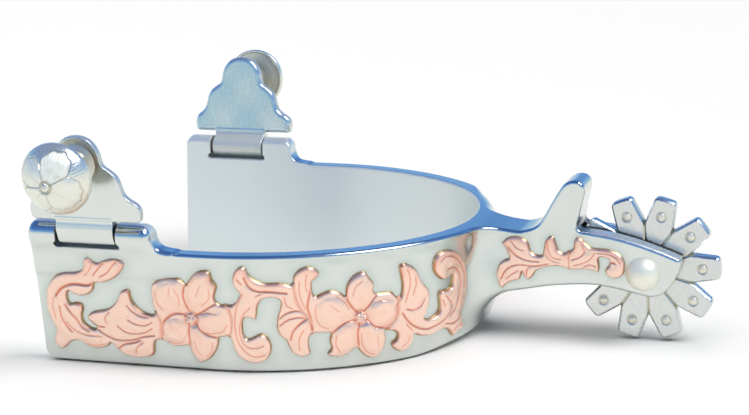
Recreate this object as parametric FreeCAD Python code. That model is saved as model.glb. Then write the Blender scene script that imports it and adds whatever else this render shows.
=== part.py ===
"""Western spur: one heel band with swinging button hangers, a shank with a chap guard and a ten-tooth rowel.

Millimetres.  +X runs back from the heel towards the rowel, +Y is the rider's right, +Z is up.
The origin is midway between the front of the band and the back of the rowel, on the middle plane,
level with the flat lower edge of the band.
"""
import FreeCAD, Part
import math
import os

V = FreeCAD.Vector

# ---- overall -------------------------------------------------------------------------------------
LENGTH = 139.9            # front of the band to the back of the rowel
ROWEL_R = 15.9            # rowel tip radius (1 1/4 in across)
ROWEL_Z = 15.8            # height of the rowel axis
ROWEL_X = LENGTH / 2 - ROWEL_R
FRONT_X = -LENGTH / 2

# ---- heel band -----------------------------------------------------------------------------------
BAND_H = 25.8             # height of the band's upper edge
BAND_T = 4.0              # thickness of the band
LEAN = math.radians(6.56)  # outward lean of the arms
INNER_HALF_W = 40.2       # half the inside width between the arms, along the upper edge
HEEL_R = 36.0             # inside radius round the back of the heel
HEEL_SWEEP = math.radians(50)
HEEL_X = ROWEL_X - 38.6   # inside of the heel on the middle plane, upper edge
SHOULDER_ROUND = 1.5      # rounding of the outer upper edge
CORNER_ROUND = 3.0        # lower front corner of each arm
SIDE_R = (INNER_HALF_W - HEEL_R * math.sin(HEEL_SWEEP)) / (1 - math.sin(HEEL_SWEEP))

# ---- hinge ---------------------------------------------------------------------------------------
HINGE_Y = 43.2
HINGE_Z = 29.2
HINGE_X = -55.95          # middle of the hanger along the hinge
KNUCKLE_R = 2.5
TOWER_BACK = 13.0         # from the hanger's middle to the rear end of the knuckles
RAMP_END = 17.5           # where the tower has come down to the band's upper edge
SLOT_FRONT = -7.5
SLOT_BACK = 6.3
SLOT_FLOOR = 2.75         # below the hinge axis
PIN_R = 1.2
PIN_CLEARANCE = 0.05
TONGUE_FRONT = -7.15
TONGUE_BACK = 5.95
TONGUE_R = 2.4

# ---- button hanger -------------------------------------------------------------------------------
PLATE_T = 2.2
PLATE_IN = 0.2            # inner face of the plate, outward of the hinge axis
WING_UP = 3.58            # lower edge of the wings above the hinge axis
WING_HALF_W = 12.6
WING_TIP_H = 2.9
HEAD_UP = 13.0            # centre of the round head above the wings' lower edge
HEAD_R = 5.3
WAIST_UP = 11.5           # where the bell narrows under the head
PLATE_ROUND = 0.5
NOTCH_ROUND = 0.7         # corners of the outline

# ---- button --------------------------------------------------------------------------------------
BUTTON_S = -0.7           # button axis along the hinge from the hanger's middle
BUTTON_UP = 12.7          # button axis above the wings' lower edge
POST_R = 3.2
POST_FOOT_R = 4.3
POST_FOOT_H = 0.6
RIM_OUT = 9.5             # rim plane outward of the hanger's face
CAP_R = 7.45
CAP_RIM_H = 1.1
CAP_DOME_H = 4.9
CAP_WALL = 0.8
BACK_T = 1.1
RING_R = 5.2
RING_W = 0.9
RING_H = 0.5

# ---- shank ---------------------------------------------------------------------------------------
SHANK_HALF_W = 5.9
CHEEK_HALF_GAP = 2.2
SLOT_R = 16.7             # clearance circle cut for the rowel
CHEEK_ROUND = 1.2
FLARE_R = 6.5             # plan radius where the shank runs into the band
FLARE_TOP = 9.6           # flare height above the rowel axis
FLARE_BOTTOM = -8.5

# ---- rowel and its pin ---------------------------------------------------------------------------
TEETH = 10
TOOTH_PHASE = 2.7         # degrees from +X to the first tooth
TIP_HALF_W = 2.35          # half a tooth's width at its tip
NOTCH_R = 10.2
ROWEL_HALF_T = 1.4
ROWEL_CHAMFER = 0.25
GROOVE_W = 0.5
GROOVE_D = 0.2
GROOVE_IN_R = 5.0
STUD_RADIUS_AT = 12.05
STUD_R = 0.85
STUD_H = 0.4
AXLE_R = 1.6
AXLE_CLEARANCE = 0.05
HEAD_DOME_R = 3.75
HEAD_DOME_H = 2.9
CAP_SOCKET = 1.2

# ---- copper overlays -----------------------------------------------------------------------------
OVERLAY_T = 0.9

# Outlines on the arm: distance back from the front edge, height above the rowel axis.
FRONT_SCROLL = [
    (2.0, -3.0), (2.5, 0.5), (4.0, 3.0), (6.5, 4.6), (10.0, 5.1), (11.6, 6.0), (12.0, 7.8),
    (12.9, 8.5), (13.9, 7.8), (15.2, 7.4), (16.5, 7.9), (18.5, 8.5), (20.5, 8.2), (21.3, 7.2),
    (20.5, 5.6), (18.6, 4.0), (16.0, 2.9), (13.8, 2.6), (13.4, 1.3), (12.3, 0.1), (10.3, -0.5),
    (8.6, 0.0), (7.6, 0.5), (7.0, -0.6), (7.3, -2.4), (8.8, -2.2), (10.2, -2.6), (10.4, -3.7),
    (10.0, -5.0), (10.1, -6.4), (11.2, -7.6), (12.6, -8.0), (13.2, -7.6), (12.5, -6.9),
    (11.5, -5.9), (11.5, -5.0), (12.6, -4.1), (14.6, -3.6), (16.2, -3.2), (17.6, -2.2),
    (18.8, -0.8), (19.6, 0.8), (21.0, 1.5), (21.7, 0.9), (21.9, -0.6), (22.8, -2.2), (24.3, -3.4),
    (26.2, -3.9), (27.4, -3.7), (28.2, -5.5), (28.1, -7.5), (27.7, -9.2), (26.6, -9.8),
    (26.2, -11.0), (25.9, -12.8), (24.5, -13.7), (22.0, -14.0), (19.5, -13.6), (17.6, -12.4),
    (16.2, -11.0), (15.0, -11.9), (12.8, -12.5), (10.6, -12.1), (8.8, -11.0), (7.0, -11.2),
    (5.5, -12.4), (4.3, -13.1), (3.2, -12.4), (2.8, -10.8), (3.5, -8.8), (2.9, -7.0), (2.2, -5.0)]
FRONT_FLOWER = [
    (27.6, -3.4), (26.9, -1.5), (26.8, 1.0), (27.2, 3.0), (28.6, 4.0), (31.0, 4.8), (33.3, 4.6),
    (34.8, 3.5), (35.6, 4.6), (37.2, 6.2), (39.0, 6.8), (40.4, 6.5), (40.8, 4.8), (41.7, 3.4),
    (41.2, 1.8), (41.0, 0.4), (42.0, -0.6), (43.1, -0.9), (44.0, -2.2), (44.3, -4.5), (44.0, -6.6),
    (43.5, -7.5), (42.3, -7.9), (41.3, -8.1), (41.0, -9.5), (40.4, -11.0), (39.0, -12.8),
    (37.3, -13.8), (36.2, -14.0), (35.0, -12.4), (34.2, -10.4), (33.0, -10.5), (31.3, -10.7),
    (29.8, -10.2), (28.2, -9.1), (28.4, -7.5), (28.5, -5.5)]
MIDDLE_SCROLL = [
    (43.5, -0.9), (44.9, -0.6), (46.0, 0.4), (46.7, 1.9), (45.7, 3.2), (45.3, 5.0), (46.0, 6.9),
    (47.2, 7.9), (48.2, 7.5), (48.8, 6.2), (50.3, 4.9), (52.3, 4.2), (55.0, 4.2), (57.2, 3.7),
    (57.9, 3.1), (58.3, 0.5), (59.4, -2.0), (60.8, -4.0), (61.4, -5.8), (61.5, -7.1), (60.9, -8.6),
    (60.9, -10.4), (61.1, -11.6), (60.4, -12.4), (58.6, -12.3), (57.1, -11.2), (56.4, -9.6),
    (56.0, -8.6), (54.8, -7.6), (54.2, -5.8), (54.4, -3.6), (55.0, -1.6), (55.3, 0.0), (54.4, 0.9),
    (52.8, 1.1), (51.2, 0.6), (50.3, -0.8), (50.0, -2.6), (49.6, -3.8), (48.4, -3.5), (47.4, -3.4),
    (46.8, -4.4), (46.7, -6.0), (46.9, -7.5), (47.8, -8.3), (49.3, -7.7), (50.5, -7.2), (51.8, -7.8),
    (52.6, -9.2), (52.6, -11.0), (51.6, -12.8), (49.9, -13.7), (47.8, -13.6), (45.8, -12.6),
    (44.6, -10.8), (44.1, -8.8), (43.9, -7.6), (44.3, -6.6), (44.6, -4.5), (44.3, -2.2)]
REAR_FLOWER = [
    (58.2, 3.4), (58.1, 5.2), (59.0, 6.7), (60.8, 7.5), (62.4, 7.2), (63.5, 6.0), (62.8, 5.0),
    (61.9, 4.0), (61.9, 2.0), (62.7, 0.9), (64.2, 1.5), (66.0, 1.9), (67.8, 1.3), (69.0, 0.4),
    (69.2, 2.2), (70.0, 3.9), (71.5, 5.1), (73.2, 5.4), (74.0, 4.2), (75.2, 2.6), (75.1, 1.0),
    (76.0, 0.2), (79.0, 0.1), (80.2, -0.9), (80.9, -1.9), (80.5, -2.8), (80.7, -4.0), (80.4, -5.5),
    (79.5, -6.9), (77.8, -8.2), (78.0, -10.2), (77.6, -12.0), (76.5, -13.7), (75.0, -14.2),
    (73.4, -13.6), (72.2, -12.3), (71.4, -11.4), (70.0, -12.2), (68.0, -13.0), (66.0, -12.9),
    (64.9, -12.2), (65.8, -11.0), (65.4, -9.2), (65.8, -7.6), (64.5, -7.4), (62.8, -7.2),
    (61.8, -7.1), (61.6, -5.8), (61.0, -3.9), (59.6, -1.9), (58.6, 0.5)]
REAR_SCROLL = [
    (81.3, -1.7), (81.8, -0.6), (81.8, 1.5), (81.4, 3.6), (81.1, 5.3), (82.0, 6.0), (83.6, 5.4),
    (85.2, 4.0), (86.0, 2.4), (87.2, 0.6), (88.4, -0.7), (88.9, -2.5), (88.7, -4.6), (88.1, -6.2),
    (87.6, -7.2), (89.0, -7.8), (91.2, -7.5), (92.3, -6.4), (92.2, -4.6), (91.9, -3.0), (92.6, -2.1),
    (94.4, -2.2), (95.7, -1.7), (96.0, 0.2), (95.4, 1.0), (94.2, 0.6), (92.6, 0.5), (91.0, 1.6),
    (90.0, 3.0), (90.0, 5.0), (90.8, 6.3), (92.6, 6.9), (94.8, 6.6), (97.0, 5.4), (99.0, 3.4),
    (100.4, 1.0), (101.2, -1.8), (101.2, -4.5), (100.6, -7.0), (100.0, -8.8), (100.5, -10.5),
    (101.0, -11.8), (100.3, -12.8), (98.8, -12.8), (97.6, -13.5), (96.8, -13.0), (96.0, -12.0),
    (94.6, -11.2), (92.8, -11.0), (90.0, -11.6), (87.2, -11.2), (85.2, -10.4), (84.9, -11.8),
    (84.0, -13.1), (82.2, -13.8), (80.4, -13.1), (79.5, -11.8), (80.6, -10.9), (81.0, -9.8),
    (80.1, -8.8), (78.6, -8.3), (79.8, -6.9), (80.7, -5.5), (81.0, -4.0), (80.8, -2.8)]
# Outlines on the shank's cheek: X and Z from the rowel axis.
SHANK_LEAF = [
    (-30.6, 5.5), (-29.6, 6.6), (-28.0, 7.1), (-26.0, 6.8), (-24.9, 5.8), (-24.4, 4.2), (-23.4, 3.3),
    (-21.8, 3.2), (-21.4, 4.6), (-21.1, 6.3), (-20.2, 7.4), (-19.3, 7.4), (-18.8, 6.2), (-18.2, 4.6),
    (-17.2, 3.9), (-16.1, 3.9), (-16.1, 0.8), (-18.5, 1.0), (-21.0, 0.6), (-23.0, -0.2),
    (-24.0, -1.6), (-25.0, -2.4), (-25.9, -1.6), (-26.3, -0.7), (-26.9, -2.4), (-28.6, -3.0),
    (-29.8, -3.7), (-30.8, -4.6), (-31.7, -3.6), (-32.1, -1.6), (-31.6, 0.4), (-30.5, 1.6),
    (-29.1, 2.3), (-29.6, 3.8), (-30.0, 4.8)]
SHANK_SCROLL = [
    (-15.8, 4.0), (-14.9, 5.2), (-14.7, 6.7), (-14.1, 7.5), (-13.2, 7.3), (-12.2, 6.3),
    (-10.9, 5.4), (-8.6, 5.3), (-6.6, 5.0), (-4.8, 4.1), (-3.9, 2.8), (-3.8, 1.2), (-4.2, -0.2),
    (-5.1, -0.9), (-6.5, -1.1), (-7.7, -0.4), (-7.9, 0.8), (-7.1, 1.9), (-7.2, 3.1), (-8.6, 3.5),
    (-9.5, 3.1), (-9.3, 1.6), (-9.6, 0.1), (-10.8, 0.4), (-12.6, 0.6), (-14.5, 0.4), (-15.8, 0.8)]


def extrude(points, direction):
    """Solid swept from a closed polygon."""
    wire = Part.makePolygon(points + [points[0]])
    return Part.Face(wire).extrude(direction)


def largest(shape):
    """The biggest solid of a boolean result, cleaned of split faces."""
    solids = sorted(shape.Solids, key=lambda s: s.Volume)
    return solids[-1].removeSplitter()


def plan_wire(offset, z, front_x):
    """Closed plan outline of a U whose side lies `offset` outside the band's inner upper edge."""
    r1 = HEEL_R + offset
    r2 = SIDE_R + offset
    cx1 = HEEL_X - HEEL_R
    cx2 = cx1 + (HEEL_R - SIDE_R) * math.cos(HEEL_SWEEP)
    cy2 = (HEEL_R - SIDE_R) * math.sin(HEEL_SWEEP)

    def heel(t):
        return V(cx1 + r1 * math.cos(t), r1 * math.sin(t), z)

    def side(t, s):
        return V(cx2 + r2 * math.cos(t), s * (cy2 + r2 * math.sin(t)), z)

    sweep = HEEL_SWEEP
    mid = (sweep + math.pi / 2) / 2
    top = math.pi / 2
    y = cy2 + r2
    edges = [
        Part.makeLine(V(front_x, y, z), side(top, 1)),
        Part.Arc(side(top, 1), side(mid, 1), side(sweep, 1)).toShape(),
        Part.Arc(heel(sweep), heel(0), heel(-sweep)).toShape(),
        Part.Arc(side(sweep, -1), side(mid, -1), side(top, -1)).toShape(),
        Part.makeLine(side(top, -1), V(front_x, -y, z)),
        Part.makeLine(V(front_x, -y, z), V(front_x, y, z))]
    return Part.Wire(edges)


def lean_solid(offset, z0, z1, front_x):
    """Solid inside a leaning U wall between two heights."""
    t = math.tan(LEAN)
    low = plan_wire(offset - (BAND_H - z0) * t, z0, front_x)
    high = plan_wire(offset - (BAND_H - z1) * t, z1, front_x)
    return Part.makeLoft([low, high], True, True)


def leaning_wall(inner, outer, z0, z1):
    """Leaning U wall between two offsets and two heights, open at the front."""
    shell = lean_solid(outer, z0, z1, FRONT_X - 5).cut(lean_solid(inner, z0 - 1, z1 + 1, FRONT_X - 20))
    keep = Part.makeBox(LENGTH, 120, z1 - z0 + 4, V(FRONT_X, -60, z0 - 2))
    return shell.common(keep)


def edge_on(shape, test):
    return [e for e in shape.Edges if test(e)]


def plain_band():
    """The U strap of the band with its outer upper edge and its lower edges rounded."""
    wall = leaning_wall(0, BAND_T, 0, BAND_H).Solids[0]

    def level(e, z):
        box = e.BoundBox
        return abs(box.ZMin - z) < 1e-4 and abs(box.ZMax - z) < 1e-4 and box.XLength + box.YLength > 6

    def outer(e):
        mid = e.valueAt((e.FirstParameter + e.LastParameter) / 2)
        return not lean_solid(BAND_T / 2, -1, BAND_H + 1, FRONT_X - 20).isInside(mid, 1e-3, True)

    wall = wall.makeFillet(SHOULDER_ROUND, edge_on(wall, lambda e: level(e, BAND_H) and outer(e)))
    wall = wall.makeFillet(0.5, edge_on(wall, lambda e: level(e, BAND_H) and not outer(e)))
    return wall.makeFillet(0.7, edge_on(wall, lambda e: level(e, 0)))


def hinge_tower():
    """Wall raised under the hinge of the right arm, with its knuckle barrel, before the slot is cut."""
    back = HINGE_X + TOWER_BACK
    profile = [V(FRONT_X, 0, BAND_H - 6), V(FRONT_X, 0, HINGE_Z), V(back, 0, HINGE_Z),
               V(back + 0.6, 0, HINGE_Z - 1.4), V(HINGE_X + RAMP_END, 0, BAND_H - 0.2),
               V(HINGE_X + RAMP_END, 0, BAND_H - 6)]
    slab = extrude(profile, V(0, 60, 0))
    wall = leaning_wall(0, BAND_T, BAND_H - 6, HINGE_Z + 1).common(slab)
    start = V(FRONT_X + 0.6, HINGE_Y, HINGE_Z)
    barrel = Part.makeCylinder(KNUCKLE_R, back - start.x, start, V(1, 0, 0))
    ends = edge_on(barrel, lambda e: e.BoundBox.XLength < 1e-6 and e.Length > 6)
    barrel = barrel.makeFillet(1.1, ends)
    return wall.fuse(barrel)


def slot_cut():
    """Notch for the hanger's tongue in the right arm, with round relief holes in its lower corners."""
    low = HINGE_Z - SLOT_FLOOR
    cut = Part.makeBox(SLOT_BACK - SLOT_FRONT, 16, 12, V(HINGE_X + SLOT_FRONT, HINGE_Y - 8, low))
    for s in (SLOT_FRONT, SLOT_BACK):
        relief = Part.makeCylinder(0.55, 16, V(HINGE_X + s, HINGE_Y - 8, low + 0.55), V(0, 1, 0))
        cut = cut.fuse(relief)
    return cut


def corner_cut():
    """Material outside the rounded lower front corner of the arms."""
    r = CORNER_ROUND
    block = Part.makeBox(r + 1, 120, r + 1, V(FRONT_X - 1, -60, -1))
    return block.cut(Part.makeCylinder(r, 120, V(FRONT_X + r, -60, r), V(0, 1, 0)))


def mirrored(shape):
    return shape.mirror(V(0, 0, 0), V(0, 1, 0))


def heel_band():
    tower = hinge_tower()
    slot = slot_cut()
    bore = Part.makeCylinder(PIN_R, 60, V(FRONT_X - 5, HINGE_Y, HINGE_Z), V(1, 0, 0))
    cuts = [slot, mirrored(slot), bore, mirrored(bore), corner_cut()]
    band = plain_band().fuse([tower, mirrored(tower)])
    return largest(band.cut(cuts))


def wall_point(a, z, side, lift):
    """Point on the arm's outer face: `a` back from the front edge, `z` high, `lift` outward."""
    out = BAND_T + lift - (BAND_H - z) * math.tan(LEAN)
    cx1 = HEEL_X - HEEL_R
    cx2 = cx1 + (HEEL_R - SIDE_R) * math.cos(HEEL_SWEEP)
    cy2 = (HEEL_R - SIDE_R) * math.sin(HEEL_SWEEP)
    straight = cx2 - FRONT_X
    r2 = SIDE_R + BAND_T
    bend = straight + r2 * (math.pi / 2 - HEEL_SWEEP)
    if a < straight:
        return V(FRONT_X + a, side * (cy2 + SIDE_R + out), z)
    if a < bend:
        t = math.pi / 2 - (a - straight) / r2
        return V(cx2 + (SIDE_R + out) * math.cos(t), side * (cy2 + (SIDE_R + out) * math.sin(t)), z)
    t = HEEL_SWEEP - (a - bend) / (HEEL_R + BAND_T)
    return V(cx1 + (HEEL_R + out) * math.cos(t), side * (HEEL_R + out) * math.sin(t), z)


def smooth_face(points, normal):
    """Planar face inside a closed curve through the points, flattened along the normal."""
    flat = [p - normal * normal.dot(p) for p in points]
    curve = Part.BSplineCurve()
    curve.interpolate(Points=flat, PeriodicFlag=True)
    return Part.Face(Part.Wire(curve.toShape()))


def overlay(outline, skin, flare):
    """Copper piece on the left arm, cut from the skin on the wall and kept clear of the shank's flare."""
    points = [wall_point(a, z + ROWEL_Z, -1, 0) for a, z in outline]
    middle = (min(a for a, z in outline) + max(a for a, z in outline)) / 2
    ahead = wall_point(middle + 1, ROWEL_Z, -1, 0)
    behind = wall_point(middle - 1, ROWEL_Z, -1, 0)
    along = (ahead - behind).normalize()
    normal = V(along.y, -along.x, 0)
    face = smooth_face(points, normal)
    depth = normal.dot(wall_point(middle, ROWEL_Z, -1, 0))
    face.translate(normal * (depth - 9))
    return largest(face.extrude(normal * 18).common(skin).cut(flare))


def shank_side():
    """Side outline of the shank with its chap guard, from the heel to the tip of the cheeks."""
    def at(x, z):
        return V(ROWEL_X + x, 0, ROWEL_Z + z)

    def spline(*points):
        curve = Part.BSplineCurve()
        curve.interpolate([at(*p) for p in points])
        return curve.toShape()

    edges = [
        spline((-38, 9.9), (-33, 9.2), (-28, 8.5), (-24.6, 9.2), (-22.2, 11.2), (-20, 14.6), (-17.6, 18.6)),
        Part.Arc(at(-17.6, 18.6), at(-15.0, 20.2), at(-12.6, 18.6)).toShape(),
        spline((-12.6, 18.6), (-13.1, 14.8), (-13.9, 11.4), (-14.6, 8.9)),
        spline((-14.6, 8.9), (-8, 8.4), (-2, 7.1), (4, 5.2), (8.3, 3.4)),
        spline((8.3, 3.4), (7.4, 0.3), (6.0, -2.5), (3.9, -4.6), (1.2, -5.2), (-2.5, -4.5), (-7, -3.6),
               (-12, -3.2), (-20, -3.9), (-28, -5.3), (-33, -7.6), (-38, -10.5)),
        Part.makeLine(at(-38, -10.5), at(-38, 9.9))]
    return Part.Face(Part.Wire(edges))


def shank_flare():
    """Plan flare that carries the shank's sides into the outside of the heel."""
    x0 = ROWEL_X - 38
    x1 = HEEL_X + BAND_T + FLARE_R - 1.2
    bulge = FLARE_R * (1 - math.sqrt(0.5))
    w = SHANK_HALF_W
    z = ROWEL_Z + FLARE_BOTTOM

    def flank(s):
        return Part.Arc(V(x1, s * w, z), V(x1 - FLARE_R * math.sqrt(0.5), s * (w + bulge), z),
                        V(x1 - FLARE_R, s * (w + FLARE_R), z)).toShape()

    edges = [flank(1), Part.makeLine(V(x1 - FLARE_R, w + FLARE_R, z), V(x0, w + FLARE_R, z)),
             Part.makeLine(V(x0, w + FLARE_R, z), V(x0, -w - FLARE_R, z)),
             Part.makeLine(V(x0, -w - FLARE_R, z), V(x1 - FLARE_R, -w - FLARE_R, z)), flank(-1),
             Part.makeLine(V(x1, -w, z), V(x1, w, z))]
    wire = Part.Wire(Part.__sortEdges__(edges))
    block = Part.Face(wire).extrude(V(0, 0, FLARE_TOP - FLARE_BOTTOM))
    side = shank_side().extrude(V(0, 60, 0))
    side.translate(V(0, -30, 0))
    return block.common(side)


def shank(band):
    body = shank_side().extrude(V(0, 2 * SHANK_HALF_W, 0))
    body.translate(V(0, -SHANK_HALF_W, 0))

    body = body.makeFillet(CHEEK_ROUND, edge_on(body, lambda e: e.BoundBox.YLength < 1e-4))
    body = body.fuse(shank_flare())
    inside = lean_solid(BAND_T / 2, -1, BAND_H + 1, FRONT_X - 20)
    gap = Part.makeCylinder(SLOT_R, 2 * CHEEK_HALF_GAP, V(ROWEL_X, -CHEEK_HALF_GAP, ROWEL_Z), V(0, 1, 0))
    bore = Part.makeCylinder(AXLE_R, 20, V(ROWEL_X, -10, ROWEL_Z), V(0, 1, 0))
    return largest(body.cut([inside, band, gap, bore]))


def shank_overlay(outline, root):
    """Copper piece on the left cheek, cut back to the shank's own surface."""
    points = [V(ROWEL_X + x, 0, ROWEL_Z + z) for x, z in outline]
    face = smooth_face(points, V(0, 1, 0))
    face.translate(V(0, -SHANK_HALF_W - OVERLAY_T, 0))
    piece = face.extrude(V(0, OVERLAY_T + 1.5, 0))
    return largest(piece.cut(root))


def rowel():
    points = []
    step = 360.0 / TEETH
    for k in range(TEETH):
        centre = math.radians(TOOTH_PHASE + k * step)
        for along, across in ((ROWEL_R + 1, -TIP_HALF_W), (ROWEL_R + 1, TIP_HALF_W)):
            points.append(V(along * math.cos(centre) - across * math.sin(centre), -ROWEL_HALF_T,
                            along * math.sin(centre) + across * math.cos(centre)))
        notch = centre + math.radians(step / 2)
        points.append(V(NOTCH_R * math.cos(notch), -ROWEL_HALF_T, NOTCH_R * math.sin(notch)))
    star = extrude(points, V(0, 2 * ROWEL_HALF_T, 0))
    blank = Part.makeCylinder(ROWEL_R, 2 * ROWEL_HALF_T, V(0, -ROWEL_HALF_T, 0), V(0, 1, 0))
    flat_edges = edge_on(star, lambda e: e.BoundBox.YLength < 1e-6)
    star = star.makeChamfer(ROWEL_CHAMFER, flat_edges)
    blank = blank.makeChamfer(ROWEL_CHAMFER, edge_on(blank, lambda e: e.BoundBox.YLength < 1e-6))
    star = star.common(blank)
    star = star.cut(Part.makeCylinder(AXLE_R + AXLE_CLEARANCE, 20, V(0, -10, 0), V(0, 1, 0)))
    cuts = []
    for k in range(TEETH):
        t = math.radians(TOOTH_PHASE + (k + 0.5) * step)
        for y in (-ROWEL_HALF_T, ROWEL_HALF_T - GROOVE_D):
            groove = Part.makeBox(NOTCH_R - GROOVE_IN_R + 1, GROOVE_D, GROOVE_W,
                                  V(GROOVE_IN_R, y, -GROOVE_W / 2))
            groove.rotate(V(0, 0, 0), V(0, 1, 0), -math.degrees(t))
            cuts.append(groove)
        cuts.append(stud_hole(TOOTH_PHASE + k * step))
    star = largest(star.cut(cuts))
    star.translate(V(ROWEL_X, 0, ROWEL_Z))
    return star


def stud_hole(angle):
    t = math.radians(angle)
    centre = V(STUD_RADIUS_AT * math.cos(t), -10, STUD_RADIUS_AT * math.sin(t))
    return Part.makeCylinder(STUD_R, 20, centre, V(0, 1, 0))


def dome(radius, height, base, axis):
    """Spherical cap standing on a disc."""
    ball_r = (radius ** 2 + height ** 2) / (2 * height)
    ball = Part.makeSphere(ball_r, base + axis * (height - ball_r))
    column = Part.makeCylinder(radius, height + 1, base, axis)
    return ball.common(column)


def rowel_studs():
    studs = []
    for k in range(TEETH):
        t = math.radians(TOOTH_PHASE + k * 360.0 / TEETH)
        x = ROWEL_X + STUD_RADIUS_AT * math.cos(t)
        z = ROWEL_Z + STUD_RADIUS_AT * math.sin(t)
        stud = Part.makeCylinder(STUD_R, 2 * ROWEL_HALF_T, V(x, -ROWEL_HALF_T, z), V(0, 1, 0))
        for s in (-1, 1):
            stud = stud.fuse(dome(STUD_R, STUD_H, V(x, s * ROWEL_HALF_T, z), V(0, s, 0)))
        studs.append(stud.removeSplitter().Solids[0])
    return Part.makeCompound(studs)


def rowel_pin():
    """Rivet with its domed head on the left cheek."""
    end = SHANK_HALF_W + CAP_SOCKET
    shaft = Part.makeCylinder(AXLE_R, SHANK_HALF_W + end, V(ROWEL_X, -SHANK_HALF_W, ROWEL_Z), V(0, 1, 0))
    head = dome(HEAD_DOME_R, HEAD_DOME_H, V(ROWEL_X, -SHANK_HALF_W, ROWEL_Z), V(0, -1, 0))
    return largest(shaft.fuse(head))


def rowel_pin_cap():
    """Matching domed cap pressed on the rivet's right end."""
    head = dome(HEAD_DOME_R, HEAD_DOME_H, V(ROWEL_X, SHANK_HALF_W, ROWEL_Z), V(0, 1, 0))
    return head.cut(Part.makeCylinder(AXLE_R, CAP_SOCKET, V(ROWEL_X, SHANK_HALF_W, ROWEL_Z), V(0, 1, 0)))


def hanger_plate():
    """Bell-shaped plate in the hinge frame: X along the hinge, Z up the plate, Y outward."""
    def at(s, u):
        return V(s, PLATE_IN, WING_UP + u)

    w = WING_HALF_W
    waist = math.sqrt(HEAD_R ** 2 - (HEAD_UP - WAIST_UP) ** 2)
    edges = [Part.makeLine(at(-w, 0), at(w, 0)),
             Part.Arc(at(waist, WAIST_UP), at(0, HEAD_UP + HEAD_R), at(-waist, WAIST_UP)).toShape()]
    for m in (1, -1):
        edges += [
            Part.makeLine(at(m * w, 0), at(m * w, WING_TIP_H - 0.6)),
            Part.Arc(at(m * w, WING_TIP_H - 0.6), at(m * (w - 0.25), 3.3), at(m * (w - 1.1), 4.0)).toShape(),
            Part.Arc(at(m * (w - 1.1), 4.0), at(m * 9.9, 4.9), at(m * 9.2, 6.3)).toShape(),
            Part.Arc(at(m * 9.2, 6.3), at(m * 7.9, 9.6), at(m * waist, WAIST_UP)).toShape()]
    face = Part.Face(Part.Wire(Part.__sortEdges__(edges)))
    plate = face.extrude(V(0, PLATE_T, 0))
    plate = plate.makeFillet(NOTCH_ROUND, edge_on(plate, lambda e: e.BoundBox.YLength > PLATE_T - 0.01))
    return plate.makeFillet(PLATE_ROUND, edge_on(plate, lambda e: e.BoundBox.YLength < 1e-6))


def hanger_tongue():
    """Foot of the hanger that runs down into the knuckle round the hinge pin."""
    length = TONGUE_BACK - TONGUE_FRONT
    barrel = Part.makeCylinder(TONGUE_R, length, V(TONGUE_FRONT, 0, 0), V(1, 0, 0))
    neck = Part.makeBox(length, PLATE_T, WING_UP + 0.6, V(TONGUE_FRONT, PLATE_IN, 0))
    out = PLATE_IN + PLATE_T
    lip = [V(TONGUE_FRONT, out - 0.6, WING_UP - 0.2), V(TONGUE_FRONT, out, WING_UP - 0.3),
           V(TONGUE_FRONT, out + 0.75, 2.0), V(TONGUE_FRONT, out + 0.75, 1.0),
           V(TONGUE_FRONT, out - 0.2, 0.5), V(TONGUE_FRONT, out - 0.6, 0.5)]
    heel = [V(TONGUE_FRONT, PLATE_IN + 0.4, WING_UP - 0.2), V(TONGUE_FRONT, PLATE_IN - 1.3, 1.9),
            V(TONGUE_FRONT, PLATE_IN + 0.4, 1.5)]
    foot = barrel.fuse([neck, extrude(lip, V(length, 0, 0)), extrude(heel, V(length, 0, 0))])
    return foot


def to_hinge(shape, side):
    """Place a hinge-frame shape on an arm, leaning outward."""
    placed = shape.copy()
    placed.rotate(V(0, 0, 0), V(1, 0, 0), -math.degrees(LEAN))
    placed.translate(V(HINGE_X, HINGE_Y, HINGE_Z))
    return placed if side > 0 else mirrored(placed)


def hanger():
    bore = Part.makeCylinder(PIN_R + PIN_CLEARANCE, 40, V(-20, 0, 0), V(1, 0, 0))
    return largest(hanger_plate().fuse(hanger_tongue()).cut(bore))


def button_axis_point(out):
    return V(BUTTON_S, PLATE_IN + PLATE_T + out, WING_UP + BUTTON_UP)


def button_post():
    out = V(0, 1, 0)
    foot = Part.makeCone(POST_FOOT_R, POST_R, POST_FOOT_H, button_axis_point(0), out)
    return largest(foot.fuse(Part.makeCylinder(POST_R, RIM_OUT - BACK_T, button_axis_point(0), out)))


def button_back():
    """Disc that closes the cap from behind, with a raised ring round the post."""
    out = V(0, 1, 0)
    base = button_axis_point(RIM_OUT - BACK_T)
    disc = Part.makeCylinder(CAP_R - CAP_WALL, BACK_T, base, out)
    ring = Part.makeCylinder(RING_R, RING_H, base - out * RING_H, out)
    ring = ring.cut(Part.makeCylinder(RING_R - RING_W, RING_H, base - out * RING_H, out))
    return largest(disc.fuse(ring))


def button_cap():
    """Hollow domed cap whose rim folds round the back disc."""
    out = V(0, 1, 0)
    base = button_axis_point(RIM_OUT - BACK_T)
    face = button_axis_point(RIM_OUT)
    rim = Part.makeCylinder(CAP_R, BACK_T, base, out)
    shell = rim.fuse(dome(CAP_R, CAP_DOME_H, face, out))
    hollow = dome(CAP_R - CAP_WALL, CAP_DOME_H - CAP_WALL, face, out)
    well = Part.makeCylinder(CAP_R - CAP_WALL, BACK_T, base, out)
    return largest(shell.cut([hollow, well]))


def hinge_pin():
    """Pin driven through the knuckles, its rear end a little proud and domed."""
    start = FRONT_X + 0.7
    end = HINGE_X + TOWER_BACK + 0.3
    shaft = Part.makeCylinder(PIN_R, end - start, V(start, HINGE_Y, HINGE_Z), V(1, 0, 0))
    return largest(shaft.fuse(dome(PIN_R, 0.4, V(end, HINGE_Y, HINGE_Z), V(1, 0, 0))))


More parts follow.
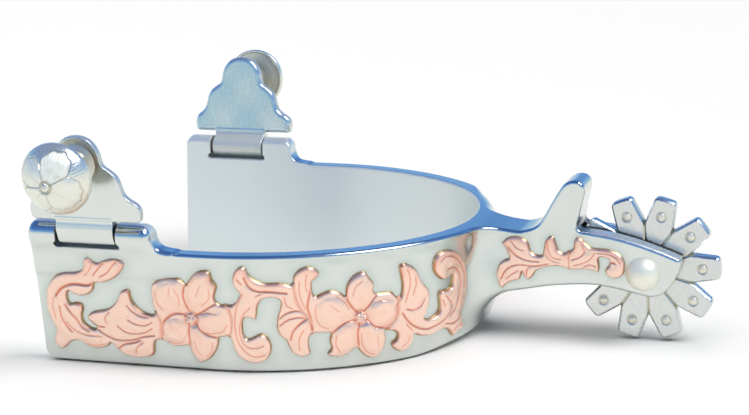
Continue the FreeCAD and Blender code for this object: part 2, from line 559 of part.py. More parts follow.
def build():
    band = heel_band()
    parts = {"heel_band": band, "shank": shank(band)}
    parts["rowel"] = rowel()
    parts["rowel_studs"] = rowel_studs()
    parts["rowel_pin"] = rowel_pin()
    parts["rowel_pin_cap"] = rowel_pin_cap()
    pin = hinge_pin()
    swinging = {"button_hanger": hanger(), "button_post": button_post(),
                "button_back": button_back(), "button_cap": button_cap()}
    for name, side in (("left", -1), ("right", 1)):
        parts[name + "_hinge_pin"] = pin if side > 0 else mirrored(pin)
        for part, shape in swinging.items():
            parts[name + "_" + part] = to_hinge(shape, side)
    skin = leaning_wall(BAND_T, BAND_T + OVERLAY_T, 0, BAND_H)
    on_arm = {"front_scroll": FRONT_SCROLL, "front_flower": FRONT_FLOWER,
              "middle_scroll": MIDDLE_SCROLL, "rear_flower": REAR_FLOWER, "rear_scroll": REAR_SCROLL}
    for part, outline in on_arm.items():
        piece = overlay(outline, skin, parts["shank"])
        parts["left_" + part] = piece
        parts["right_" + part] = mirrored(piece)
    root = parts["shank"].fuse(band)
    for part, outline in {"shank_leaf": SHANK_LEAF, "shank_scroll": SHANK_SCROLL}.items():
        piece = shank_overlay(outline, root)
        root = root.fuse(piece)
        parts["left_" + part] = piece
        parts["right_" + part] = mirrored(piece)
    return parts


def main():
    os.makedirs("parts", exist_ok=True)
    for name, shape in build().items():
        box = shape.BoundBox
        print(name, len(shape.Solids), shape.isValid(), round(shape.Volume, 1),
              [round(v, 2) for v in (box.XMin, box.XMax, box.YMin, box.YMax, box.ZMin, box.ZMax)])
        shape.exportStep("parts/" + name + ".step")


main()
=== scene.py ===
import math

import bpy
import numpy as np
from mathutils import Matrix, Vector


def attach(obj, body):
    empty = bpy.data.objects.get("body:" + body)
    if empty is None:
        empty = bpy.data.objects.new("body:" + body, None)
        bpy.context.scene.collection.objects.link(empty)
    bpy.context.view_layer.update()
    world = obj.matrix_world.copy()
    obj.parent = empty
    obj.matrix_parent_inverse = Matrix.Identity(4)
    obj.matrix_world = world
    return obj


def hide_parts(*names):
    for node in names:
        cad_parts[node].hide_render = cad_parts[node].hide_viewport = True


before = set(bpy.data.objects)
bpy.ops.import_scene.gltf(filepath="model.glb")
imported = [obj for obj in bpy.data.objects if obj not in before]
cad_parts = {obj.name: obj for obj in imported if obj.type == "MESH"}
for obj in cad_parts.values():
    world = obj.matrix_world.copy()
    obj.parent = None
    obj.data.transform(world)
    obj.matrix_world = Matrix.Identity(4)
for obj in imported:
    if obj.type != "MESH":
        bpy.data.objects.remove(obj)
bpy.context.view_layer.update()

# Working units are millimetres; meshes are scaled to metres when they are made.
MM = 0.001

# Mesh steps: the frame, the hangers, the rowel and the copper castings.
FRAME_STEP, HANGER_STEP, ROWEL_STEP, RELIEF_STEP = 0.32, 0.28, 0.24, 0.14

# ---- dimensions repeated from the CAD source ----
LENGTH = 139.9
FRONT_X = -LENGTH / 2
ROWEL_R = 15.9
ROWEL_X = LENGTH / 2 - ROWEL_R
ROWEL_Z = 15.8
BAND_H = 25.8
BAND_T = 4.0
LEAN = math.radians(6.56)
TAN, COS = math.tan(LEAN), math.cos(LEAN)
INNER_HALF_W = 40.2
HEEL_R = 36.0
SWEEP = math.radians(50)
HEEL_X = ROWEL_X - 38.6
SIDE_R = (INNER_HALF_W - HEEL_R * math.sin(SWEEP)) / (1 - math.sin(SWEEP))
CX1 = HEEL_X - HEEL_R
CX2 = CX1 + (HEEL_R - SIDE_R) * math.cos(SWEEP)
CY2 = (HEEL_R - SIDE_R) * math.sin(SWEEP)
HINGE = (-55.95, 43.2, 29.2)
KNUCKLE_R = 2.5
TOWER_BACK = 13.0
SLOT = (-7.5, 6.3)
SLOT_FLOOR = 2.67
SHANK_HALF_W = 5.9
CHEEK_HALF_GAP = 2.2
SLOT_R = 16.7
OVERLAY_T = 0.9


# ---- small helpers ----
def rmax(a, b, r):
    """Intersection of two distance fields with a rounded edge of radius r."""
    return np.minimum(np.maximum(a, b), -r) + np.hypot(np.maximum(a + r, 0), np.maximum(b + r, 0))


def rmin(a, b, r):
    """Union of two distance fields with a rounded inside corner of radius r."""
    return np.maximum(np.minimum(a, b), r) - np.hypot(np.maximum(r - a, 0), np.maximum(r - b, 0))


def spline(points, closed=False, steps=8):
    """Catmull-Rom curve through the points."""
    p = np.array(points, float)
    if closed:
        q = np.vstack([p[-1], p, p[0], p[1]])
    else:
        q = np.vstack([2 * p[0] - p[1], p, 2 * p[-1] - p[-2]])
    out = []
    t = np.linspace(0, 1, steps, endpoint=False)[:, None]
    for i in range(1, len(q) - 2):
        a, b, c, d = q[i - 1], q[i], q[i + 1], q[i + 2]
        out.append(0.5 * (2 * b + (c - a) * t + (2 * a - 5 * b + 4 * c - d) * t ** 2
                          + (3 * b - a - 3 * c + d) * t ** 3))
    if not closed:
        out.append(p[-1:])
    return np.vstack(out)


def segment_distance(u, v, line):
    """Distance to an open polyline."""
    best = np.full(u.shape, 1e18)
    for (ax, ay), (bx, by) in zip(line[:-1], line[1:]):
        dx, dy = bx - ax, by - ay
        t = np.clip(((u - ax) * dx + (v - ay) * dy) / (dx * dx + dy * dy + 1e-12), 0, 1)
        best = np.minimum(best, (u - ax - t * dx) ** 2 + (v - ay - t * dy) ** 2)
    return np.sqrt(best)


def polygon_distance(u, v, poly):
    """Signed distance to a closed polygon, negative inside."""
    loop = np.vstack([poly, poly[:1]])
    inside = np.zeros(u.shape, bool)
    for (ax, ay), (bx, by) in zip(loop[:-1], loop[1:]):
        if ay != by:
            cross = (bx - ax) * (v - ay) / (by - ay) + ax
            inside ^= ((ay > v) != (by > v)) & (u < cross)
    d = segment_distance(u, v, loop)
    return np.where(inside, -d, d)


def around(u, v, points, margin):
    """Marks the grid points in the box of a polyline, widened by a margin."""
    lo, hi = np.min(points, 0) - margin, np.max(points, 0) + margin
    return (u > lo[0]) & (u < hi[0]) & (v > lo[1]) & (v < hi[1])


def smooth(x):
    """Eased step from 0 to 1."""
    x = np.clip(x, 0, 1)
    return x * x * (3 - 2 * x)


# ---- smooth solids from a distance field ----
def gradient(f, p, eps):
    """Slope of the field f at the points p."""
    g = np.empty_like(p)
    for k in range(3):
        e = np.zeros(3)
        e[k] = eps
        g[:, k] = f(p + e) - f(p - e)
    return g / (2 * eps)


def net(f, lo, hi, step, coarse=4, relax=2):
    """Quad mesh of the zero surface of f, with its vertices and normals on the surface itself."""
    big = step * coarse
    lo = np.array(lo, float)
    n = np.ceil((np.array(hi, float) - lo) / big).astype(int)
    axes = [lo[k] + (np.arange(n[k]) + 0.5) * big for k in range(3)]
    c = np.stack(np.meshgrid(*axes, indexing="ij"), -1).reshape(-1, 3)
    rough = f(c).reshape(n)
    field, near = rough, np.abs(rough) < big * 1.35
    for k in range(3):
        field, near = field.repeat(coarse, k), near.repeat(coarse, k)
    idx = np.argwhere(near)
    field[near] = f(lo + (idx + 0.5) * step)
    inside = field < 0
    total = np.zeros(np.array(field.shape) - 1, np.uint8)
    corners = [(i, j, k) for i in (0, 1) for j in (0, 1) for k in (0, 1)]
    s = total.shape
    for i, j, k in corners:
        total += inside[i:i + s[0], j:j + s[1], k:k + s[2]]
    cells = np.argwhere((total > 0) & (total < 8))
    number = np.full(s, -1, np.int32)
    number[tuple(cells.T)] = np.arange(len(cells))
    vals = np.stack([field[tuple((cells + np.array(o)).T)] for o in corners], 1)
    acc = np.zeros((len(cells), 3))
    cnt = np.zeros(len(cells))
    for a in range(8):
        for b in range(a + 1, 8):
            oa, ob = np.array(corners[a]), np.array(corners[b])
            if np.abs(oa - ob).sum() != 1:
                continue
            va, vb = vals[:, a], vals[:, b]
            hit = (va < 0) != (vb < 0)
            t = va[hit] / (va[hit] - vb[hit])
            acc[hit] += oa + (ob - oa) * t[:, None]
            cnt[hit] += 1
    verts = lo + (cells + acc / cnt[:, None] + 0.5) * step
    quads = []
    for axis in range(3):
        a = [slice(None)] * 3
        b = [slice(None)] * 3
        a[axis], b[axis] = slice(0, -1), slice(1, None)
        change = inside[tuple(a)] != inside[tuple(b)]
        at = np.argwhere(change)
        o1, o2 = (axis + 1) % 3, (axis + 2) % 3
        at = at[(at[:, o1] > 0) & (at[:, o2] > 0) & (at[:, o1] < s[o1]) & (at[:, o2] < s[o2])]
        flip = inside[tuple(at.T)]
        ring = []
        for d1, d2 in ((0, 0), (-1, 0), (-1, -1), (0, -1)):
            q = at.copy()
            q[:, o1] += d1
            q[:, o2] += d2
            ring.append(number[tuple(q.T)])
        ring = np.stack(ring, 1)
        ring[~flip] = ring[~flip][:, ::-1]
        quads.append(ring)
    quads = np.vstack(quads)

    def project(v, times):
        for _ in range(times):
            g = gradient(f, v, 0.02)
            v = v - g * (f(v) / np.maximum((g * g).sum(1), 0.2))[:, None]
        return v

    verts = project(verts, 2)
    for _ in range(relax):
        mean = np.zeros_like(verts)
        count = np.zeros(len(verts))
        for i in range(4):
            np.add.at(mean, quads[:, i], verts[quads[:, (i + 1) % 4]] + verts[quads[:, i - 1]])
            np.add.at(count, quads[:, i], 2)
        g = gradient(f, verts, 0.03)
        g /= np.linalg.norm(g, axis=1)[:, None] + 1e-9
        move = mean / count[:, None] - verts
        move -= g * (move * g).sum(1)[:, None]
        verts = project(verts + 0.5 * move, 1)
    normals = gradient(f, verts, 0.05)
    normals /= np.linalg.norm(normals, axis=1)[:, None] + 1e-9
    return verts, quads, normals


def make(name, verts, faces, material, body, slot, normals=None, **marks):
    """One mesh object, in metres, riding on its CAD body."""
    me = bpy.data.meshes.new(name)
    me.from_pydata((verts * MM).tolist(), [], faces if isinstance(faces, list) else faces.tolist())
    me.validate()
    me.polygons.foreach_set("use_smooth", np.ones(len(me.polygons), bool))
    for mark, values in marks.items():
        att = me.attributes.new(mark, "FLOAT", "POINT")
        att.data.foreach_set("value", np.asarray(values, np.float32))
    if normals is not None:
        me.normals_split_custom_set_from_vertices(normals.tolist())
    me.materials.append(material)
    ob = bpy.data.objects.new(name, me)
    bpy.context.scene.collection.objects.link(ob)
    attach(ob, body)
    return ob


# ---- materials ----
def node(m, kind, **values):
    """New shader node with the named or numbered inputs set."""
    n = m.node_tree.nodes.new(kind)
    if kind == "ShaderNodeMix":
        n.data_type = "RGBA"
    for key, value in values.items():
        n.inputs[int(key[1:]) if key[1:].isdigit() else key.replace("_", " ")].default_value = value
    return n


def material(name, base, rough, rough_var=0.08, brush=(0.25, 2.5, 2.5), bump=0.006, tint=0.06, metal=1.0):
    """Procedural metal: base colour with faint staining, uneven gloss, fine directional polishing lines."""
    m = bpy.data.materials.new(name)
    m.use_nodes = True
    links = m.node_tree.links
    bsdf = m.node_tree.nodes["Principled BSDF"]
    bsdf.inputs["Metallic"].default_value = metal
    co = node(m, "ShaderNodeTexCoord")
    fine = node(m, "ShaderNodeMapping", Scale=tuple(1000 * k for k in brush))
    links.new(co.outputs["Object"], fine.inputs["Vector"])
    lines = node(m, "ShaderNodeTexNoise", Scale=1.0, Detail=3.0, Roughness=0.6)
    links.new(fine.outputs["Vector"], lines.inputs["Vector"])
    broad = node(m, "ShaderNodeTexNoise", Scale=140.0, Detail=4.0)
    links.new(co.outputs["Object"], broad.inputs["Vector"])
    worn = tuple(c * (1 - tint * k) for c, k in zip(base, (1.0, 1.15, 1.6)))
    colour = node(m, "ShaderNodeMix", _6=(*base, 1), _7=(*worn, 1))
    links.new(broad.outputs["Fac"], colour.inputs[0])
    links.new(colour.outputs[2], bsdf.inputs["Base Color"])
    gloss = node(m, "ShaderNodeMapRange", From_Min=0.3, From_Max=0.7, To_Min=rough - rough_var / 2,
                 To_Max=rough + rough_var / 2)
    links.new(lines.outputs["Fac"], gloss.inputs["Value"])
    links.new(gloss.outputs["Result"], bsdf.inputs["Roughness"])
    b = node(m, "ShaderNodeBump", Strength=0.6, Distance=bump * MM)
    links.new(lines.outputs["Fac"], b.inputs["Height"])
    links.new(b.outputs["Normal"], bsdf.inputs["Normal"])
    return m


def marked(m, mark, colour, rougher=0.0, duller=0.0):
    """Blends a material towards a colour and a rougher, duller skin by one of the mesh's painted marks."""
    links = m.node_tree.links
    bsdf = m.node_tree.nodes["Principled BSDF"]
    att = node(m, "ShaderNodeAttribute")
    att.attribute_name = mark
    mix = node(m, "ShaderNodeMix", _7=(*colour, 1))
    links.new(att.outputs["Fac"], mix.inputs[0])
    links.new(bsdf.inputs["Base Color"].links[0].from_socket, mix.inputs[6])
    links.new(mix.outputs[2], bsdf.inputs["Base Color"])
    for name, change in (("Roughness", rougher), ("Metallic", -duller)):
        if change:
            socket = bsdf.inputs[name]
            more = node(m, "ShaderNodeMath", _1=change, _2=socket.default_value)
            more.operation = "MULTIPLY_ADD"
            links.new(att.outputs["Fac"], more.inputs[0])
            for link in socket.links:
                links.new(link.from_socket, more.inputs[2])
            links.new(more.outputs[0], socket)
    return m


STEEL_TONE, SLOT_SHADE = (0.70, 0.735, 0.715), (0.13, 0.095, 0.07)
STEEL = material("steel_polished", STEEL_TONE, 0.19, 0.08, (0.3, 0.3, 3.0), 0.0025)
# dull: a rougher, less metallic, lighter skin; on the cheek tops it is a painted sheen
marked(STEEL, "dull", (0.80, 0.84, 0.82), 0.22, 0.62)
# a darker grey-green band round the copper castings, and painted shade in a patchy band under the outer top
# edge
marked(STEEL, "halo", (0.47, 0.54, 0.49), 0.10)
# dark brown painted shade inside the hinge slots, in the gap between the cheeks and where that gap starts
# behind the chap guard
marked(STEEL, "tone", SLOT_SHADE, 0.25)
PLATE = material("steel_plate", (0.71, 0.745, 0.725), 0.21, 0.08, (2.2, 0.4, 0.4), 0.0025)
# painted sky reflection: a blue tint, rougher and less metallic, on the plates' inner faces
marked(PLATE, "sky", (0.40, 0.59, 0.67), 0.1, 0.3)
marked(PLATE, "dull", (0.60, 0.63, 0.61), 0.2, 0.6)
marked(PLATE, "tone", (0.30, 0.17, 0.08), 0.1)
ROWEL = material("steel_satin", (0.68, 0.70, 0.685), 0.26, 0.08, (0.5, 0.5, 0.5), 0.003)
marked(ROWEL, "tone", (0.46, 0.43, 0.27), 0.1)
STUD = material("stud_steel", (0.90, 0.85, 0.72), 0.40, 0.06, (2, 2, 2), 0.002, metal=0.6)
PEARL = material("pearl_steel", (0.95, 0.94, 0.81), 0.46, 0.06, (0.4, 0.4, 0.4), 0.003, metal=0.55)
PIN = material("pin_steel", (0.66, 0.68, 0.67), 0.3, 0.1, (2, 2, 2), 0.004)
SILVER = material("button_silver", (0.66, 0.65, 0.58), 0.32, 0.08, (0.4, 0.4, 0.4), 0.0015, metal=0.7)
SILVER_CUT = material("button_engraved", (0.84, 0.84, 0.74), 0.25, 0.08, (1.0, 1.0, 1.0), 0.004, metal=0.8)
# frosted engraving on the petals, whitened as a painted highlight on the busiest petal
marked(SILVER_CUT, "frost", (0.90, 0.94, 0.88), 0.2, 0.6)
marked(SILVER_CUT, "tone", (0.34, 0.31, 0.20), 0.1)
COPPER = material("copper_cast", (1.0, 0.71, 0.585), 0.33, 0.12, (1.0, 1.0, 1.0), 0.010, 0.06, metal=0.78)
# tone: reddish engraved lines, dark joints and edges, and painted shade at the upper edges
marked(COPPER, "tone", (0.80, 0.22, 0.11))
marked(COPPER, "solder", (0.34, 0.31, 0.08), 0.1)


# ---- heel band and shank ----
FAR = 60.0                      # stands for "nowhere near" in a distance field
CROWN = 0.13                    # fall of the band's outer face over its top CROWN_H
CROWN_H = 2.8
HEEL_BLEND_LOW, HEEL_BLEND_HIGH = 8.5, 5.0
EDGE_ROUND, GUARD_FAR_ROUND, HEEL_FAR_ROUND = 0.75, 3.2, 2.2
SHANK_ROUND, GUARD_BLEND, TOWER_ROUND, BARREL_ROUND = 1.2, 1.6, 0.8, 1.1
SLOT_ROUND, GAP_ROUND = 0.14, 0.3
HEEL_WEAR, ROOT_WEAR = 0.85, 1.6
TOWER_BLEND, BARREL_BLEND = 1.2, 3.5
INNER_ROUND, LOWER_ROUND, FRONT_ROUND, CORNER_ROUND = 0.4, 0.4, 0.6, 3.0


def plan(x, y):
    """Signed distance outside the band's inner upper edge, in plan."""
    ya = np.abs(y)
    t = np.arctan2(ya, x - CX1)
    heel = np.hypot(x - CX1, ya) - HEEL_R
    side = np.hypot(x - CX2, ya - CY2) - SIDE_R
    flat = ya - INNER_HALF_W
    return np.where(x < CX2, flat, np.where(t < SWEEP, heel, side))


SHANK_BODY = [(-46, 40), (-46, -14), (-41, -13), (-38, -9), (-35, -6.9), (-31.5, -5.8), (-27.5, -5.3),
              (-20, -3.9), (-12, -3.2), (-7, -3.6), (-2.5, -4.5), (1.2, -5.2), (3.9, -4.6), (6, -2.5),
              (7.4, 0.3), (8.4, 3.4), (9.6, 8), (12, 40)]
SHANK_TOP = [(-70, 10), (-60, 10), (-48, 10), (-44, 9.97), (-40, 9.83), (-36, 9.45), (-33, 8.95),
             (-30, 8.5), (-27, 8.2), (-24, 8.2), (-14.6, 8.8), (-8, 8.3), (-2, 7), (4, 5.1), (9, 3.2),
             (12, 2.2)]
GUARD = [(-26.5, 6), (-25.6, 7.6), (-24, 8.7), (-22.2, 10.5), (-20.2, 13.9), (-18.2, 17.3),
         (-16.9, 19), (-15.2, 19.8), (-13.6, 19.6), (-12.6, 18.6), (-12.5, 17.2), (-13, 15),
         (-13.6, 12.6), (-14.2, 10.4), (-14.6, 8.6), (-14.8, 6)]


def frame_field(p):
    """Signed distance from the heel band with its hinge towers, shank and chap guard."""
    x, y, z = p[:, 0], p[:, 1], p[:, 2]
    ya = np.abs(y)
    X, Z = x - ROWEL_X, z - ROWEL_Z
    w = plan(x, y) + (BAND_H - z) * TAN
    crown = np.clip((z - BAND_H + CROWN_H) / CROWN_H, 0, 1) * (x > HINGE[0] + TOWER_BACK + 6)
    outer = (w - BAND_T) * COS + CROWN * crown ** 2
    inner = -w * COS
    # shank body, open at the top, blended into the outside of the heel
    back = x > 2
    side = np.full(x.shape, FAR)
    guard = np.full(x.shape, FAR)
    top = z - BAND_H
    Xb, Zb = X[back], Z[back]
    side[back] = polygon_distance(Xb, Zb, BODY_LINE)
    guard[back] = polygon_distance(Xb, Zb, GUARD_LINE)
    top[back] = Zb - np.interp(Xb, TOP_LINE[:, 0], TOP_LINE[:, 1])
    body = rmax(side, ya - SHANK_HALF_W, SHANK_ROUND)
    blend = HEEL_BLEND_LOW + (HEEL_BLEND_HIGH - HEEL_BLEND_LOW) * smooth((z - 12) / 10)
    blended = rmin(outer, body, blend)
    # the chap guard rises out of the shank's top line, and the far edges are worn rounder
    edge = EDGE_ROUND + 0.3 * smooth((X + 14) / 4)
    edge = edge + GUARD_FAR_ROUND * smooth(y / 2) * smooth((Z - 10.5) / 3)
    edge = edge + HEEL_FAR_ROUND * smooth((x - 8) / 5) * smooth((y - 2) / 5) * smooth((z - 18) / 4)
    f = rmax(blended, rmin(top, guard, GUARD_BLEND), edge)
    # hinge towers
    front = x < -30
    xf, zf, yf = x[front], z[front], ya[front]
    block = rmax(polygon_distance(xf, zf, TOWER_LINE), outer[front], TOWER_ROUND)
    block = rmax(block, inner[front], INNER_ROUND)
    radial = np.hypot(yf - HINGE[1], zf - HINGE[2]) - KNUCKLE_R
    ends = np.maximum(FRONT_X + 0.5 - xf, xf - (HINGE[0] + TOWER_BACK))
    barrel = rmax(radial, ends, BARREL_ROUND)
    f[front] = rmin(f[front], rmin(block, barrel, BARREL_BLEND), TOWER_BLEND)
    f = rmax(f, inner, INNER_ROUND)
    # the lower edge is worn up a little behind the heel
    worn = HEEL_WEAR * smooth((x - 8) / 7) + ROOT_WEAR * smooth((x - 14) / 5)
    f = rmax(f, worn - z, LOWER_ROUND)
    f = rmax(f, FRONT_X - x, FRONT_ROUND)
    f = np.maximum(f, rmax(-z, FRONT_X - x, CORNER_ROUND))
    f[front] = rmax(f[front], -hinge_slot(xf, yf, zf), SLOT_ROUND)
    f[back] = rmax(f[back], -rowel_gap(Xb, ya[back], Zb), GAP_ROUND)
    return f


def hinge_slot(x, ya, z):
    """Distance from the slot that takes the hanger's foot."""
    s0, s1 = HINGE[0] + SLOT[0], HINGE[0] + SLOT[1]
    floor = HINGE[2] - SLOT_FLOOR
    notch = np.maximum(np.maximum(s0 - x, x - s1), floor - z)
    for s in (s0, s1):
        notch = np.minimum(notch, np.hypot(x - s, z - floor - 0.55) - 0.55)
    return np.maximum(notch, 34 - ya)


def rowel_gap(X, ya, Z):
    """Distance from the gap between the cheeks."""
    return np.maximum(np.hypot(X, Z) - SLOT_R, ya - CHEEK_HALF_GAP)


BODY_LINE = np.array(SHANK_BODY)
BODY_LINE = np.vstack([BODY_LINE[:2], spline(SHANK_BODY[2:-1], steps=4), BODY_LINE[-1:]])
TOP_LINE = spline(SHANK_TOP, steps=24)
GUARD_LINE = spline(GUARD, steps=4)
TOWER_LINE = np.vstack([[(FRONT_X - 3, 20), (FRONT_X - 3, HINGE[2])],
                        spline([(HINGE[0] + 12.6, HINGE[2]), (HINGE[0] + 13.2, HINGE[2] - 1.4),
                                (HINGE[0] + 14.6, HINGE[2] - 2.5), (HINGE[0] + 16.2, HINGE[2] - 3.1),
                                (HINGE[0] + 18.0, HINGE[2] - 3.5)], steps=4),
                        [(HINGE[0] + 18.0, 20)]])

# ---- rowel ----
TEETH, TOOTH_PHASE, TIP_HALF_W, NOTCH_R, ROWEL_HALF_T = 10, 2.7, 2.35, 10.2, 1.4
STUD_RADIUS_AT = 12.05
TIP_ROUND, FACE_ROUND, CHAMFER, ROWEL_BORE_R = 0.75, 0.12, 0.42, 1.65


def rowel_terms(p):
    """Radius, distance from the nearest tooth outline, from the nearest groove and from the nearest stud."""
    X, Z = p[:, 0] - ROWEL_X, p[:, 2] - ROWEL_Z
    r = np.hypot(X, Z)
    step = math.tau / TEETH
    t = np.arctan2(Z, X) - math.radians(TOOTH_PHASE)
    t = (t + step / 2) % step - step / 2
    along, across = r * np.cos(t), np.abs(r * np.sin(t))
    notch = (NOTCH_R * math.cos(step / 2), NOTCH_R * math.sin(step / 2))
    tip = (ROWEL_R, TIP_HALF_W)
    dx, dy = tip[0] - notch[0], tip[1] - notch[1]
    size = math.hypot(dx, dy)
    flank = ((along - notch[0]) * -dy + (across - notch[1]) * dx) / size
    outline = rmax(flank, r - ROWEL_R, TIP_ROUND)
    groove = r * np.abs(np.sin(np.abs(t) - step / 2))
    stud = np.hypot(along - STUD_RADIUS_AT, across)
    return r, outline, groove, stud


def rowel_field(p):
    """Signed distance from the ten-tooth rowel with its sunk lines."""
    r, outline, groove, stud = rowel_terms(p)
    sink = 0.22 * smooth(1 - groove / 0.42) * smooth((r - 4.6) / 0.4)
    sink = sink + 0.12 * np.exp(-((stud - 1.02) / 0.16) ** 2)
    face = np.abs(p[:, 1]) - ROWEL_HALF_T + sink
    f = np.maximum(rmax(outline, face, FACE_ROUND), (outline + face + CHAMFER) * math.sqrt(0.5))
    return np.maximum(f, ROWEL_BORE_R - r)


verts, quads, normals = net(rowel_field, (ROWEL_X - 16.6, -2.2, -0.8), (ROWEL_X + 16.6, 2.2, 32.4),
                            ROWEL_STEP)
r, outline, groove, stud = rowel_terms(verts)
tone = 0.85 * smooth(1 - groove / 0.5) * smooth((r - 4.6) / 0.4) * (r < 11.5)
tone = np.maximum(tone, 0.7 * np.exp(-((stud - 1.02) / 0.16) ** 2))
tone = np.maximum(tone, 0.35 * smooth(1 - (r - 3.8) / 2.5))
rowel = make("rowel_cut", verts, quads, ROWEL, "rowel", "rowel_steel", normals, tone=tone)
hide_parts("rowel")


# ---- button hangers ----
PLATE_IN, PLATE_T, WING_UP = 0.2, 2.2, 3.58
BUTTON_S, BUTTON_UP, RIM_OUT = -0.7, 12.7, 9.5
TONGUE = (-7.15, 5.95)
PLATE_ROUND, PLATE_BEVEL, FOOT_BLEND, KNUCKLE_BORE_R = 0.35, 1.15, 0.5, 1.25
HALF_BELL = [(12.5, 0.45), (12.7, 1.8), (12.5, 3.2), (11.8, 4.2), (10.6, 5), (9.8, 5.9), (9.35, 7.1),
             (8.85, 8.9), (8.05, 10.3), (6.8, 11.3), (5.65, 12.1), (5.25, 13.1), (5, 14.4), (4.3, 16),
             (3.1, 17.4), (1.6, 18.15), (0, 18.35)]


def hinge_to_world(s, t, h, side):
    """Point in a hanger's own frame (along the hinge, outward, up the plate) placed on its arm."""
    y = HINGE[1] + t * COS + h * math.sin(LEAN)
    z = HINGE[2] + h * COS - t * math.sin(LEAN)
    return np.stack([HINGE[0] + s, side * y, z], -1)


BELL = HALF_BELL + [(-s, u) for s, u in HALF_BELL[-2::-1]]
BELL_LINE = np.vstack([[(11.8, 0.05)], spline(BELL, steps=5), [(-11.8, 0.05)]])
# the bell leans a little forward and its head stands a little taller
BELL_LINE[:, 0] -= 0.45 * smooth((BELL_LINE[:, 1] - 3) / 3)
BELL_LINE[:, 1] += 0.3 * smooth((BELL_LINE[:, 1] - 11) / 4)
FOOT = spline([(0.2, 4.2), (0.1, 3.2), (-0.6, 2.5), (-1.75, 1.65), (-2.35, 0.3), (-2.1, -1.1), (-1, -2.15),
               (0.3, -2.5), (1.45, -2.12), (2.2, -1.35), (2.58, -0.4), (2.8, 0.7), (2.92, 1.6), (2.65, 2.6),
               (2.42, 3.3), (2.38, 4.2)], steps=4)


def hanger_field(p):
    """Signed distance from a hanger: its bell-shaped plate and the foot that turns on the pin."""
    s, t, h = p[:, 0], p[:, 1], p[:, 2]
    bell = polygon_distance(s, h - WING_UP, BELL_LINE)
    plate = rmax(rmax(bell, t - PLATE_IN - PLATE_T, PLATE_ROUND), PLATE_IN - t, PLATE_BEVEL)
    ends = np.maximum(TONGUE[0] - s, s - TONGUE[1])
    foot = rmax(polygon_distance(t, h, FOOT), ends, PLATE_ROUND)
    f = rmin(plate, foot, FOOT_BLEND)
    return np.maximum(f, KNUCKLE_BORE_R - np.hypot(t, h))


verts, quads, normals = net(hanger_field, (-13.6, -3.2, -3.2), (13.6, 4.0, 22.8), HANGER_STEP)
# a brown ring on the plate's outer face round the button's post, stronger in two lobes
post = np.hypot(verts[:, 0] - BUTTON_S, verts[:, 2] - WING_UP - BUTTON_UP)
post_ring = smooth((5.6 - post) / 1.2) * (verts[:, 1] > 2.0)
post_ring = post_ring * (0.45 + 0.4 * np.sin(np.arctan2(verts[:, 2] - 16, verts[:, 0]) * 2 + 0.8))
s, t, u = verts[:, 0], verts[:, 1], verts[:, 2] - WING_UP
# painted sky reflection on the plate's inner face, patchy and weaker towards one lower corner
inner_face = smooth((PLATE_IN + 0.5 - t) / 0.4) * smooth((u + 0.4) / 0.4)
clouds = 0.2 * np.sin(s * 0.5 + 1) * np.sin(u * 0.45)
sky = inner_face * (0.72 + clouds - 0.3 * smooth((s - 4) / 6) * smooth((6 - u) / 5))
rim = smooth((polygon_distance(s, u, BELL_LINE) + 0.3) / 0.25) * (u > 0.2)
dull = np.maximum(0.9 * smooth((0.6 - t) / 0.8) * smooth((0.3 - u) / 0.5), 0.5 * rim)
tip = hinge_to_world(np.zeros(3), np.array([0, 1, 0.0]), np.array([0, 0, 1.0]), 1)
turn_t, turn_h = tip[1] - tip[0], tip[2] - tip[0]
for side, word in ((-1, "left"), (1, "right")):
    placed = hinge_to_world(verts[:, 0], verts[:, 1], verts[:, 2], side)
    n = normals[:, :1] * [1, 0, 0] + normals[:, 1:2] * turn_t + normals[:, 2:] * turn_h
    n = n * [1, side, 1]
    ob = make(word + "_hanger_plate", placed, quads[:, ::side], PLATE,
              word + "_hanger", "polished_steel", n, tone=np.clip(post_ring, 0, 1), sky=sky, dull=dull)
    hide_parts(word + "_button_hanger")


# ---- CAD parts shown as they are ----
def dress(name, mat):
    """Puts a material on a carried-over CAD part."""
    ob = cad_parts[name]
    ob.data.materials.clear()
    ob.data.materials.append(mat)


for word in ("left", "right"):
    dress(word + "_hinge_pin", PIN)
    dress(word + "_button_post", SILVER)
    dress(word + "_button_back", SILVER)
dress("rowel_studs", STUD)
dress("rowel_pin", PEARL)
dress("rowel_pin_cap", PEARL)


# ---- copper overlays ----
# Where the arm's straight run and its first bend end, measured along the outer upper edge.
STRAIGHT = CX2 - FRONT_X
BEND = STRAIGHT + (SIDE_R + BAND_T) * (math.pi / 2 - SWEEP)


def wall_points(a, z, side, lift):
    """Points on an arm's outer face, `a` back from the front edge, `z` high, `lift` outward."""
    out = BAND_T + lift / COS - (BAND_H - z) * TAN
    t2 = math.pi / 2 - (a - STRAIGHT) / (SIDE_R + BAND_T)
    t1 = SWEEP - (a - BEND) / (HEEL_R + BAND_T)
    x = np.where(a < STRAIGHT, FRONT_X + a,
                 np.where(a < BEND, CX2 + (SIDE_R + out) * np.cos(t2), CX1 + (HEEL_R + out) * np.cos(t1)))
    y = np.where(a < STRAIGHT, CY2 + SIDE_R + out,
                 np.where(a < BEND, CY2 + (SIDE_R + out) * np.sin(t2), (HEEL_R + out) * np.sin(t1)))
    return np.stack([x, side * y, z], -1)


def cheek_points(X, z, side, lift):
    """Points on a cheek's outer face."""
    return np.stack([ROWEL_X + X, np.full(X.shape, side) * (SHANK_HALF_W + lift), z], -1)


